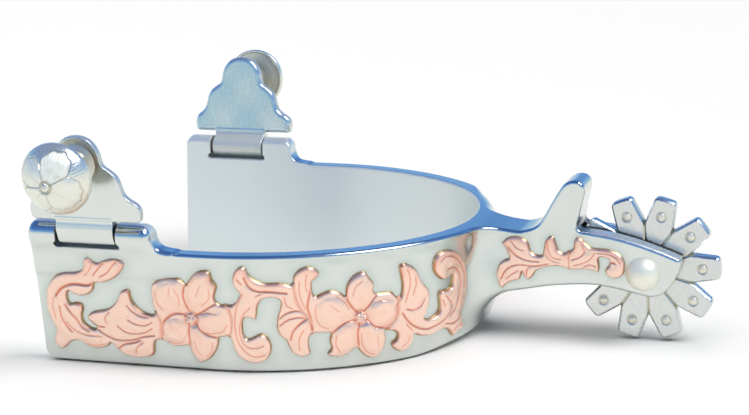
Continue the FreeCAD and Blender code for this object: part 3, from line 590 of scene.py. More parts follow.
FRONT_SCROLL = [
    (2, -3), (2.5, 0.5), (4, 3), (6.5, 4.6), (10, 5.1), (11.6, 6), (12, 7.8),
    (12.9, 8.5), (13.9, 7.8), (15.2, 7.4), (16.5, 7.9), (18.5, 8.5), (20.5, 8.2), (21.3, 7.2),
    (20.5, 5.6), (18.6, 4), (16, 2.9), (13.8, 2.6), (13.4, 1.3), (12.3, 0.1), (10.3, -0.5),
    (8.6, 0), (7.6, 0.5), (7, -0.6), (7.3, -2.4), (8.8, -2.2), (10.2, -2.6), (10.4, -3.7),
    (10, -5), (10.1, -6.4), (11.2, -7.6), (12.6, -8), (13.2, -7.6), (12.5, -6.9),
    (11.5, -5.9), (11.5, -5), (12.6, -4.1), (14.6, -3.6), (16.2, -3.2), (17.6, -2.2),
    (18.8, -0.8), (19.6, 0.8), (21, 1.5), (21.7, 0.9), (21.9, -0.6), (22.8, -2.2), (24.3, -3.4),
    (26.2, -3.9), (27.4, -3.7), (28.2, -5.5), (28.1, -7.5), (27.7, -9.2), (26.6, -9.8),
    (26.2, -11), (25.9, -12.8), (24.5, -13.7), (22, -14), (19.5, -13.6), (17.6, -12.4),
    (16.2, -11), (15, -11.9), (12.8, -12.5), (10.6, -12.1), (8.8, -11), (7, -11.2),
    (5.5, -12.4), (4.3, -13.1), (3.2, -12.4), (2.8, -10.8), (3.5, -8.8), (2.9, -7), (2.2, -5)]
FRONT_FLOWER = [
    (27.6, -3.4), (26.9, -1.5), (26.8, 1), (27.2, 3), (28.6, 4), (31, 4.8), (33.3, 4.6),
    (34.8, 3.5), (35.6, 4.6), (37.2, 6.2), (39, 6.8), (40.4, 6.5), (40.8, 4.8), (41.7, 3.4),
    (41.2, 1.8), (41, 0.4), (42, -0.6), (43.1, -0.9), (44, -2.2), (44.3, -4.5), (44, -6.6),
    (43.5, -7.5), (42.3, -7.9), (41.3, -8.1), (41, -9.5), (40.4, -11), (39, -12.8),
    (37.3, -13.8), (36.2, -14), (35, -12.4), (34.2, -10.4), (33, -10.5), (31.3, -10.7),
    (29.8, -10.2), (28.2, -9.1), (28.4, -7.5), (28.5, -5.5)]
MIDDLE_SCROLL = [
    (43.5, -0.9), (44.9, -0.6), (46, 0.4), (46.7, 1.9), (45.7, 3.2), (45.3, 5), (46, 6.9),
    (47.2, 7.9), (48.2, 7.5), (48.8, 6.2), (50.3, 4.9), (52.3, 4.2), (55, 4.2), (57.2, 3.7),
    (57.9, 3.1), (58.3, 0.5), (59.4, -2), (60.8, -4), (61.4, -5.8), (61.5, -7.1), (60.9, -8.6),
    (60.9, -10.4), (61.1, -11.6), (60.4, -12.4), (58.6, -12.3), (57.1, -11.2), (56.4, -9.6),
    (56, -8.6), (54.8, -7.6), (54.2, -5.8), (54.4, -3.6), (55, -1.6), (55.3, 0), (54.4, 0.9),
    (52.8, 1.1), (51.2, 0.6), (50.3, -0.8), (50, -2.6), (49.6, -3.8), (48.4, -3.5), (47.4, -3.4),
    (46.8, -4.4), (46.7, -6), (46.9, -7.5), (47.8, -8.3), (49.3, -7.7), (50.5, -7.2), (51.8, -7.8),
    (52.6, -9.2), (52.6, -11), (51.6, -12.8), (49.9, -13.7), (47.8, -13.6), (45.8, -12.6),
    (44.6, -10.8), (44.1, -8.8), (43.9, -7.6), (44.3, -6.6), (44.6, -4.5), (44.3, -2.2)]
REAR_FLOWER = [
    (58.2, 3.4), (58.1, 5.2), (59, 6.7), (60.8, 7.5), (62.4, 7.2), (63.5, 6), (62.8, 5),
    (61.9, 4), (61.9, 2), (62.7, 0.9), (64.2, 1.5), (66, 1.9), (67.8, 1.3), (69, 0.4),
    (69.2, 2.2), (70, 3.9), (71.5, 5.1), (73.2, 5.4), (74, 4.2), (75.2, 2.6), (75.1, 1),
    (76, 0.2), (79, 0.1), (80.2, -0.9), (80.9, -1.9), (80.5, -2.8), (80.7, -4), (80.4, -5.5),
    (79.5, -6.9), (77.8, -8.2), (78, -10.2), (77.6, -12), (76.5, -13.7), (75, -14.2),
    (73.4, -13.6), (72.2, -12.3), (71.4, -11.4), (70, -12.2), (68, -13), (66, -12.9),
    (64.9, -12.2), (65.8, -11), (65.4, -9.2), (65.8, -7.6), (64.5, -7.4), (62.8, -7.2),
    (61.8, -7.1), (61.6, -5.8), (61, -3.9), (59.6, -1.9), (58.6, 0.5)]
REAR_SCROLL = [
    (81.3, -1.7), (81.8, -0.6), (81.8, 1.5), (81.4, 3.6), (81.1, 5.3), (82, 6), (83.6, 5.4),
    (85.2, 4), (86, 2.4), (87.2, 0.6), (88.4, -0.7), (88.9, -2.5), (88.7, -4.6), (88.1, -6.2),
    (87.6, -7.2), (89, -7.8), (91.2, -7.5), (92.3, -6.4), (92.2, -4.6), (91.9, -3), (92.6, -2.1),
    (94.4, -2.2), (95.7, -1.7), (96, 0.2), (95.4, 1), (94.2, 0.6), (92.6, 0.5), (91, 1.6),
    (90, 3), (90, 5), (90.8, 6.3), (92.6, 6.9), (94.8, 6.6), (97, 5.4), (99, 3.4),
    (100.4, 1), (101.2, -1.8), (101.2, -4.5), (100.6, -7), (100, -8.8), (100.5, -10.5),
    (101, -11.8), (100.3, -12.8), (98.8, -12.8), (97.6, -13.5), (96.8, -13), (96, -12),
    (94.6, -11.2), (92.8, -11), (90, -11.6), (87.2, -11.2), (85.2, -10.4), (84.9, -11.8),
    (84, -13.1), (82.2, -13.8), (80.4, -13.1), (79.5, -11.8), (80.6, -10.9), (81, -9.8),
    (80.1, -8.8), (78.6, -8.3), (79.8, -6.9), (80.7, -5.5), (81, -4), (80.8, -2.8)]
SHANK_LEAF = [
    (-30.6, 5.5), (-29.6, 6.6), (-28, 7.1), (-26, 6.8), (-24.9, 5.8), (-24.4, 4.2), (-23.4, 3.3),
    (-21.8, 3.2), (-21.4, 4.6), (-21.1, 6.3), (-20.2, 7.4), (-19.3, 7.4), (-18.8, 6.2), (-18.2, 4.6),
    (-17.2, 3.9), (-16.1, 3.9), (-16.1, 0.8), (-18.5, 1), (-21, 0.6), (-23, -0.2),
    (-24, -1.6), (-25, -2.4), (-25.9, -1.6), (-26.3, -0.7), (-26.9, -2.4), (-28.6, -3),
    (-29.8, -3.7), (-30.8, -4.6), (-31.7, -3.6), (-32.1, -1.6), (-31.6, 0.4), (-30.5, 1.6),
    (-29.1, 2.3), (-29.6, 3.8), (-30, 4.8)]
SHANK_SCROLL = [
    (-15.8, 4), (-14.9, 5.2), (-14.7, 6.7), (-14.1, 7.5), (-13.2, 7.3), (-12.2, 6.3),
    (-10.9, 5.4), (-8.6, 5.3), (-6.6, 5), (-4.8, 4.1), (-3.9, 2.8), (-3.8, 1.2), (-4.2, -0.2),
    (-5.1, -0.9), (-6.5, -1.1), (-7.7, -0.4), (-7.9, 0.8), (-7.1, 1.9), (-7.2, 3.1), (-8.6, 3.5),
    (-9.5, 3.1), (-9.3, 1.6), (-9.6, 0.1), (-10.8, 0.4), (-12.6, 0.6), (-14.5, 0.4), (-15.8, 0.8)]

# Engraved lines of each piece: (half width, depth, points).
CUTS = {}
CUTS["front_scroll"] = [
    (0.55, 0.55, [(4.6, -0.6), (6, 1), (8, 2), (10.2, 2.3), (12.2, 2.1), (13.4, 2.5)]),
    (0.3, 0.25, [(4, -6), (3.6, -3.2), (4.1, -1)]),
    (0.35, 0.35, [(5.2, -3), (5.3, -5.2), (6.1, -7.3), (7.4, -8.9)]),
    (0.3, 0.3, [(6.3, -6.6), (8.2, -8.5), (11, -9.4), (14.2, -9.5)]),
    (0.3, 0.3, [(10.6, -11.5), (12.8, -11.8), (14.6, -11.3)]),
    (0.4, 0.4, [(6.4, -2.6), (7.6, -4.4), (8.8, -5.9), (9.8, -7.6), (11.4, -8.6)]),
    (0.35, 0.4, [(12, -6.1), (13.4, -7.2), (15.2, -7.2)]),
    (0.35, 0.45, [(13.6, -8), (16, -9.5), (19, -10.1), (22, -9.7), (24.2, -8.9), (26.6, -8.6)]),
    (0.3, 0.35, [(18.3, -6.8), (20, -8), (22.2, -8.4), (24.6, -7.9), (26.2, -6.9)]),
    (0.3, 0.35, [(20.8, -5.2), (22.5, -6.1), (24.6, -6.3), (26.4, -5.5)]),
    (0.4, 0.45, [(17.9, -12.2), (19.4, -11), (21.5, -10.5), (23.2, -9.9)]),
    (0.3, 0.3, [(21.9, -12.8), (22.4, -11.4), (23.8, -10.3)]),
    (0.35, 0.35, [(21, -2), (22, -3.2), (23.6, -4.1), (25.6, -4.5)]),
    (0.3, 0.3, [(16.6, -3.8), (15.6, -5), (15.8, -6.4)]),
    (0.35, 0.4, [(14, 4.6), (15.4, 6.2), (16.4, 7.4)]),
    (0.3, 0.35, [(15.4, 4.2), (17.2, 5.2), (18.4, 6.6), (19.6, 7.9)]),
    (0.3, 0.3, [(12, 4.4), (13.2, 5.6), (13.8, 7)])]
CUTS["front_flower"] = [
    (0.45, 0.5, [(34.9, -3.6), (33.2, -3), (31.4, -3.3), (29.6, -4.6), (28.8, -5.8), (28.6, -8.2)]),
    (0.45, 0.45, [(35.3, -2.4), (34.5, -0.6), (34.2, 1.4), (34.6, 3.4)]),
    (0.4, 0.45, [(36.4, -3.3), (38.4, -2.2), (40.2, -1), (41.4, -0.4)]),
    (0.4, 0.45, [(36.4, -4.9), (37.6, -6.5), (39.6, -7.7), (41.2, -8.1)]),
    (0.4, 0.45, [(34.9, -5.2), (34.6, -7.4), (34.7, -9.2), (34.3, -10.3)]),
    (0.28, 0.22, [(27.8, 1.6), (28.1, -0.6), (29.2, -2.4)]),
    (0.28, 0.22, [(33.2, -1.2), (33.2, 0.8), (32.4, 2.6)]),
    (0.28, 0.22, [(40.2, 3), (40.2, 1.4), (39.6, 0.2), (38.2, -0.9)]),
    (0.28, 0.25, [(38.6, -7), (41, -7), (42.6, -6.4), (43.5, -5)]),
    (0.28, 0.22, [(37.6, -2.9), (39.4, -2.4), (41.2, -2.6)]),
    (0.28, 0.22, [(35.9, -9), (36.3, -11), (37.4, -12.4)]),
    (0.28, 0.22, [(39.9, -9.2), (39.6, -11), (38.4, -12.4)]),
    (0.28, 0.22, [(29.6, -9.6), (31.4, -10), (33.2, -9.6)]),
    (0.28, 0.2, [(30.8, -4.8), (31.2, -6.8)]), (0.28, 0.2, [(37.2, 1.2), (38.4, 3.6)]),
    (0.28, 0.2, [(31, 0.8), (31.4, 3)])]
CUTS["middle_scroll"] = [
    (0.3, 0.3, [(47.4, 2), (46, -0.6), (45.3, -3.6), (45.2, -6.6), (45.8, -9.2), (47.2, -11.2),
                  (49.2, -12.2), (51.2, -11.9)]),
    (0.3, 0.28, [(48.8, -1), (47.2, -2.6), (46.2, -5.2), (46.2, -7.8), (47.4, -9.8), (49.4, -10.2),
                  (51.2, -9.6)]),
    (0.45, 0.5, [(47.8, 5.6), (48.8, 3.6), (50.6, 2.6), (53.6, 2.4), (56.6, 2)]),
    (0.3, 0.3, [(50, 1.4), (51.2, 2)]),
    (0.35, 0.35, [(46.4, 5.2), (47.2, 4.2)]),
    (0.35, 0.4, [(54.9, -3.6), (56.4, -2.4), (58.2, -2), (59.4, -2.2)]),
    (0.35, 0.4, [(54.8, -5.2), (56.6, -3.9), (58.6, -3.5), (60.2, -3.8)]),
    (0.4, 0.45, [(57, -8.4), (57.6, -6.6), (59, -5), (60.6, -3.9)]),
    (0.3, 0.3, [(58.8, -10.8), (58.8, -8.4), (59.8, -6.4)]),
    (0.3, 0.3, [(56, 1.2), (56.4, -0.6), (57.6, -1.4)])]
CUTS["rear_flower"] = [
    (0.45, 0.5, [(61.9, 3.6), (61.2, 1), (60.8, -1.4), (61.4, -3.8), (61.8, -6.4)]),
    (0.28, 0.28, [(59.3, 4.6), (59.2, 2.4), (59.6, 0.2), (60.4, -1.6)]),
    (0.28, 0.28, [(60.8, 6), (60.6, 4), (60.8, 2.2)]),
    (0.45, 0.45, [(71.6, -3.6), (70.2, -2), (69.4, -0.6), (69.1, 0.6)]),
    (0.4, 0.45, [(72.8, -3.4), (74.2, -1.8), (75.2, -0.6), (76, 0.2)]),
    (0.4, 0.45, [(73.6, -5.2), (75.2, -6.8), (77, -7.5), (78.6, -7.9)]),
    (0.4, 0.45, [(71.9, -6), (71.5, -8.4), (71.8, -11)]),
    (0.4, 0.45, [(71.2, -5), (69, -5.3), (67.2, -6.4), (65.9, -7.6)]),
    (0.28, 0.25, [(62.6, -0.8), (62.4, -3.2), (63.2, -5.4), (65, -6.4)]),
    (0.28, 0.25, [(66.8, 0.8), (68.6, -0.6), (69.6, -2.2)]),
    (0.28, 0.25, [(75.2, -7.2), (77.2, -7.3), (79.2, -6.6), (80.2, -5), (80, -3)]),
    (0.28, 0.25, [(75.6, -1.6), (77, -1.2), (78.6, -1.6)]),
    (0.28, 0.25, [(72.2, -8), (72.4, -10.6), (73.6, -12.6), (75.2, -13.2)]),
    (0.28, 0.25, [(70.3, 0.6), (71, 2.6), (72.4, 3.6)]),
    (0.28, 0.25, [(66.8, -8), (66.6, -10.2), (67.6, -12)]),
    (0.28, 0.2, [(65.6, -1), (67.4, -2.6)]), (0.28, 0.2, [(75.8, -9), (76, -11.6)])]
CUTS["rear_scroll"] = [
    (0.3, 0.3, [(82.4, -2.6), (83, -0.8), (83.4, 1.2), (83.2, 3.4), (82.6, 4.8)]),
    (0.3, 0.3, [(84.2, -1.2), (84.9, 0.8), (84.8, 2.6)]),
    (0.35, 0.45, [(82.8, -4.2), (84.6, -4.8), (86.2, -4.3), (87.4, -2.8)]),
    (0.4, 0.5, [(81.8, -5), (83.4, -7.2), (85.6, -8.9), (88.4, -9.8), (91.2, -9.5), (93.8, -8.6),
                  (95.8, -7.2)]),
    (0.3, 0.3, [(82.8, -7.6), (84.4, -9.4)]),
    (0.35, 0.4, [(100.2, -3), (99.6, -0.2), (98.2, 2.6), (95.8, 4.8), (93.2, 5.6), (91.4, 4.8)]),
    (0.35, 0.4, [(93.6, 2.6), (95.6, 2.6), (97.4, 1), (98.3, -1.6), (98.2, -4.4), (97.2, -6.8),
                  (95.4, -8.4)]),
    (0.3, 0.35, [(93.6, -3.4), (95, -4.8), (95.8, -6)]),
    (0.3, 0.3, [(92.8, -4.2), (93.6, -5.8)]),
    (0.35, 0.4, [(94.2, -9.9), (96.6, -10.3), (98.8, -9.6), (99.8, -8.6)]),
    (0.3, 0.3, [(97, -12.2), (98.6, -11.4), (100, -11.4)]),
    (0.3, 0.25, [(82, -12.6), (83.4, -11.8), (83.8, -10.4)])]
CUTS["shank_leaf"] = [
    (0.3, 0.35, [(-29.4, 4.8), (-28, 3.4), (-26.6, 2.6), (-24.8, 2), (-22.4, 1.8)]),
    (0.28, 0.3, [(-28.6, 6.2), (-27.4, 4.8), (-25.8, 4.2)]),
    (0.3, 0.35, [(-31, -2.4), (-30, -0.6), (-28.4, 0.6), (-26.2, 1), (-23.6, 0.8), (-20.4, 1.4)]),
    (0.28, 0.3, [(-29.8, -2.4), (-28.4, -1.2), (-27, -0.4)]),
    (0.28, 0.3, [(-25.2, -1.4), (-25.2, -0.2), (-24.4, 0.6)]),
    (0.28, 0.3, [(-20.6, 6.4), (-20.4, 4.6), (-19.4, 3), (-17.6, 2.6)]),
    (0.28, 0.25, [(-21, 3.6), (-20, 2.4), (-18, 1.8)])]
CUTS["shank_scroll"] = [
    (0.28, 0.35, [(-15.2, 2.6), (-13.4, 3.4), (-12.4, 4.6), (-13, 6.2)]),
    (0.28, 0.3, [(-14.8, 1.4), (-12.8, 2), (-11.2, 3), (-10.2, 4.4)]),
    (0.28, 0.3, [(-12.6, 1.2), (-11.2, 1.8), (-10, 1.4)]),
    (0.28, 0.35, [(-9.6, 4.4), (-7.4, 4.3), (-5.6, 3.6), (-4.7, 2.4)]),
    (0.35, 0.35, [(-7, 2.1), (-6.4, 2.5), (-5.6, 2.2)])]

# Raised lobes, LOBE_H high: centre, half length, half width, angle in degrees.
LOBE_H = 0.35
LOBES = {
    "front_flower": [((30.8, 0.8), 3.9, 3.2, 60), ((38.2, 2.6), 4.4, 2.9, 65),
                     ((40.3, -4.8), 3.8, 2.7, 5), ((37.4, -9.6), 4.6, 2.9, 85),
                     ((31.2, -7), 3.4, 2.8, 20)],
    "rear_flower": [((65.8, -2.8), 4, 3.4, 20), ((72, 1), 3.9, 2.7, 85),
                    ((77.2, -3.8), 3.6, 2.9, 5), ((74.8, -9.6), 4.2, 3, 110),
                    ((68.6, -9.2), 3.6, 2.8, 60)]}
# Five beads round a sixth at the heart of each flower.
BEADS = {"front_flower": (35.4, -4.1), "rear_flower": (72.2, -4.7)}
BEAD_RING, BEAD_R, BEAD_H = 0.95, 0.5, 0.38
SUNK = 0.35                     # how far the castings' backs go into the steel


def vee(g, width):
    """Depth profile of a V-shaped cut."""
    return np.clip(1 - g / width, 0, 1)


ARM = {"front_scroll": FRONT_SCROLL, "front_flower": FRONT_FLOWER, "middle_scroll": MIDDLE_SCROLL,
       "rear_flower": REAR_FLOWER, "rear_scroll": REAR_SCROLL}
CHEEK = {"shank_leaf": SHANK_LEAF, "shank_scroll": SHANK_SCROLL}


def arm_distance(p):
    """How far points on the outside of the arms lie from the nearest casting."""
    x, ya, z = p[:, 0], np.abs(p[:, 1]), p[:, 2]
    t = np.arctan2(ya, x - CX1)
    side = STRAIGHT + (math.pi / 2 - np.arctan2(ya - CY2, x - CX2)) * (SIDE_R + BAND_T)
    heel = BEND + (SWEEP - t) * (HEEL_R + BAND_T)
    a = np.where(x < CX2, x - FRONT_X, np.where(t < SWEEP, heel, side))
    lines = [spline(o, closed=True, steps=2) for o in ARM.values()]
    return np.min([polygon_distance(a, z - ROWEL_Z, line) for line in lines], 0)


verts, quads, normals = net(frame_field, (FRONT_X - 1, -50, -1), (ROWEL_X + 10.5, 50, 38), FRAME_STEP)
x, ya, z = verts[:, 0], np.abs(verts[:, 1]), verts[:, 2]
w = plan(x, verts[:, 1]) + (BAND_H - z) * TAN
outside = (w > BAND_T - 0.7) & (x < 30) & (z < BAND_H - 0.4)
# a darker band round each copper casting on the arms and cheeks
halo = np.zeros(len(verts))
halo[outside] = np.exp(-np.maximum(arm_distance(verts[outside]), 0) / 1.1)
cheek = (ya > SHANK_HALF_W - 0.15) & (x > 20)
near = [polygon_distance(x[cheek] - ROWEL_X, z[cheek] - ROWEL_Z, spline(o, closed=True, steps=2))
        for o in CHEEK.values()]
halo[cheek] = np.exp(-np.maximum(np.min(near, 0), 0) / 0.8)
# painted shade: a patchy darker band just under the outer top edge
under_rim = smooth((z - BAND_H + 3.4) / 1.4) * smooth((BAND_H - 0.5 - z) / 0.8)
patchy = 0.55 + 0.45 * np.sin(x * 0.55 + 1.0) * np.sin(x * 0.23 + z)
halo = np.maximum(halo, 0.6 * under_rim * patchy * smooth((x + 25) / 20) * smooth((34 - x) / 8) * outside)
inside_face = smooth((0.35 - w) / 0.3) * smooth((BAND_H + 8 - z) / 2)
hinge_side = (x < HINGE[0] + TOWER_BACK + 1) & (z > BAND_H) & (ya < HINGE[1] + 1.2)
dull = np.maximum(inside_face, 0.8 * hinge_side)
# painted sheen: the up-facing cheek tops get the lighter, duller skin
cheek_top_sheen = smooth((x - ROWEL_X + 13) / 3) * smooth((normals[:, 2] - 0.4) / 0.3) * (ya > CHEEK_HALF_GAP)
dull = np.maximum(dull, 0.6 * cheek_top_sheen)
# painted shade: darkest inside the hinge slots, most under the tongue, and in the gap between the cheeks
slot = np.where(x < -30, hinge_slot(x, ya, z), 9.0)
gap = np.where(x > 20, rowel_gap(x - ROWEL_X, ya, z - ROWEL_Z), 9.0)
under_tongue = 0.25 + 0.75 * smooth((1.2 - np.abs(ya - HINGE[1] + 0.4)) / 0.6)
deep = np.where(z < HINGE[2] - SLOT_FLOOR + 0.3, under_tongue, 1.0)
tone = np.maximum(0.75 * smooth(1 - slot / 0.14) * deep, 0.8 * smooth(1 - gap / 0.4))
# painted shade in brown where the cheek gap starts behind the guard's foot
foot = np.hypot(x - ROWEL_X + 13.6, (z - ROWEL_Z - 8.2) * 0.8)
tone = np.maximum(tone, 0.75 * smooth(1.25 - foot / 1.9) * (ya < SHANK_HALF_W - 0.3))
band = make("frame_body", verts, quads, STEEL, "spur_frame", "polished_steel", normals,
            halo=0.75 * halo, dull=0.75 * dull, tone=tone)
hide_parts("heel_band", "shank")


def relief_group(outlines, place):
    """Height fields of castings that touch: rounded edges, raised petals, engraved lines, beads."""
    lines = {n: spline(o, closed=True, steps=6) for n, o in outlines.items()}
    every = np.vstack(list(lines.values()))
    (a0, z0), (a1, z1) = every.min(0) - 0.7, every.max(0) + 0.7
    A, Z = np.meshgrid(np.arange(a0, a1, RELIEF_STEP), np.arange(z0, z1, RELIEF_STEP), indexing="ij")
    depth_in = {}
    for name, line in lines.items():
        box = around(A, Z, line, 0.8)
        d = np.full(A.shape, -5.0)
        d[box] = -polygon_distance(A[box], Z[box], line)
        depth_in[name] = d
    stack = np.stack(list(depth_in.values()))
    owner = stack.argmax(0)
    ranked = np.sort(stack, 0)
    first, second = ranked[-1], ranked[-2]
    near = np.clip(1 - (first - second) / 0.9, 0, 1)
    d = first + 0.55 * near * near
    crease = smooth(1 - np.abs(first - second) / 0.5) * (second > -0.6)
    h = OVERLAY_T * np.sqrt(np.clip(1 - (1 - np.clip(d / 0.6, 0, 1)) ** 2, 0, 1))
    h += 0.20 * smooth(d / 2.2) - 0.22 * crease
    tone = 0.45 * crease
    for name in outlines:
        for (ca, cz), la, lb, angle in LOBES.get(name, []):
            t = math.radians(angle)
            u = ((A - ca) * math.cos(t) + (Z - cz) * math.sin(t)) / la
            v = (-(A - ca) * math.sin(t) + (Z - cz) * math.cos(t)) / lb
            h += np.where(d > 0, LOBE_H * smooth(1.2 - u * u - v * v), 0)
        for width, depth, points in CUTS[name]:
            box = around(A, Z, points, 1.5)
            g = segment_distance(A[box], Z[box], spline(points, steps=4))
            fade = smooth(d[box] / 0.5)
            h[box] -= (0.55 * depth * vee(g, width * 0.62) + 0.32 * depth * np.exp(-(g / 0.8) ** 2)) * fade
            tone[box] = np.maximum(tone[box], vee(g, width * 0.75) * min(1, depth / 0.35) * fade)
        if name in BEADS:
            ca, cz = BEADS[name]
            r = np.hypot(A - ca, Z - cz)
            turn = np.arctan2(Z - cz, A - ca)
            veins = np.clip(np.cos(turn * 42 + 1.2 * np.sin(r * 1.3) + 2.0 * np.sin(turn * 5)), 0, 1) ** 3
            reach = smooth((5.6 + 1.2 * np.sin(turn * 9) - r) / 2.5)
            veins = veins * smooth((r - 1.7) / 0.6) * reach * (d > 0.3)
            h -= 0.045 * veins
            tone = np.maximum(tone, 0.34 * veins)
            h -= 0.25 * np.exp(-((r - 1.5) / 0.45) ** 2)
            tone = np.maximum(tone, 0.4 * np.exp(-((r - 1.45) / 0.35) ** 2))
            for k in range(6):
                t = k * math.tau / 5
                ring = BEAD_RING if k < 5 else 0
                off = np.hypot(A - ca - ring * math.cos(t), Z - cz - ring * math.sin(t))
                h += BEAD_H * np.sqrt(np.clip(1 - (off / BEAD_R) ** 2, 0, 1))
    # tool marks left by the engraver, a darker band along every edge, and painted shade at the upper edges
    waves = 0.014 * np.sin(A * 5.1 + 2.0 * np.sin(Z * 1.3)) * np.sin(Z * 3.7 + A)
    waves = waves + 0.06 * np.sin(A * 1.2 + 1.3 * np.sin(Z * 0.8)) * np.sin(Z * 1.35 + 0.5 * A)
    h += waves * smooth((d - 0.2) / 0.6)
    rim = smooth(1 - d / 0.42) * (0.45 + 0.55 * smooth(0.5 + 0.5 * np.sin(A * 0.9 + Z * 0.7)))
    tone = np.maximum(tone, np.where(d > 0, 0.9 * rim, 0))
    # painted shade: the upper edges and petal tips are darkened
    tip = smooth((Z - 2.5 - 1.5 * np.sin(A * 0.45)) / 3.0) * smooth(1 - d / 1.6)
    tone = np.maximum(tone, np.where(d > 0, 0.35 * tip, 0))
    outside = d <= 0
    h = np.where(outside, 0.10 * smooth(1 + d / 0.35) - 0.12, np.maximum(h, 0.12))
    seam = 0.35 + 0.3 * np.sin(A * 0.7 + 1.0) * np.sin(Z * 0.9)
    solder = np.where(outside, 1.0, smooth(1 - d / 0.22) * seam)
    keep = d > -0.42
    whole = keep[:-1, :-1] & keep[1:, :-1] & keep[:-1, 1:] & keep[1:, 1:]
    pieces = {}
    for index, name in enumerate(outlines):
        cell = whole & (owner[:-1, :-1] == index)
        used = np.zeros_like(keep)
        for rows in (slice(None, -1), slice(1, None)):
            for columns in (slice(None, -1), slice(1, None)):
                used[rows, columns] |= cell
        number = np.full(A.shape, -1)
        n = int(used.sum())
        number[used] = np.arange(n)
        i, j = np.nonzero(cell)
        top = np.stack([number[i, j], number[i + 1, j], number[i + 1, j + 1], number[i, j + 1]], 1)
        sides = np.vstack([top[:, [k, (k + 1) % 4]] for k in range(4)])
        key = sides[:, 0] * n + sides[:, 1]
        back_key = sides[:, 1] * n + sides[:, 0]
        open_sides = sides[~np.isin(key, back_key)]
        rim_faces = np.stack([open_sides[:, 1], open_sides[:, 0], open_sides[:, 0] + n,
                              open_sides[:, 1] + n], 1)
        faces = np.vstack([top, top[:, ::-1] + n, rim_faces])
        aa, zz, up = A[used], Z[used] + ROWEL_Z, h[used]
        tones = np.concatenate([tone[used], tone[used]])
        seams = np.concatenate([solder[used], solder[used]])
        for side in (-1, 1):
            skin = place(aa, zz, side, up)
            behind = place(aa, zz, side, np.full(up.shape, -SUNK))
            pieces[name, side] = np.vstack([skin, behind]), faces[:, ::-side], tones, seams
    return pieces


for outlines, place in ((ARM, wall_points), (CHEEK, cheek_points)):
    for (name, side), (v, q, tn, seam) in relief_group(outlines, place).items():
        word = "left" if side < 0 else "right"
        ob = make(f"{word}_{name}_relief", v, q, COPPER, "spur_frame", "copper", tone=tn,
                  solder=seam)
        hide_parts(f"{word}_{name}")


# ---- engraved button caps ----
CAP_R, CAP_DOME_H, CAP_WALL, BACK_T = 7.45, 4.9, 0.8, 1.1
CAP_SCALE = {-1: 1.03, 1: 0.97}     # the near button is a little larger than the far one
PETAL_NOTCHES = np.radians([-88.0, 25.0, 106.0, 185.0, 272.0])


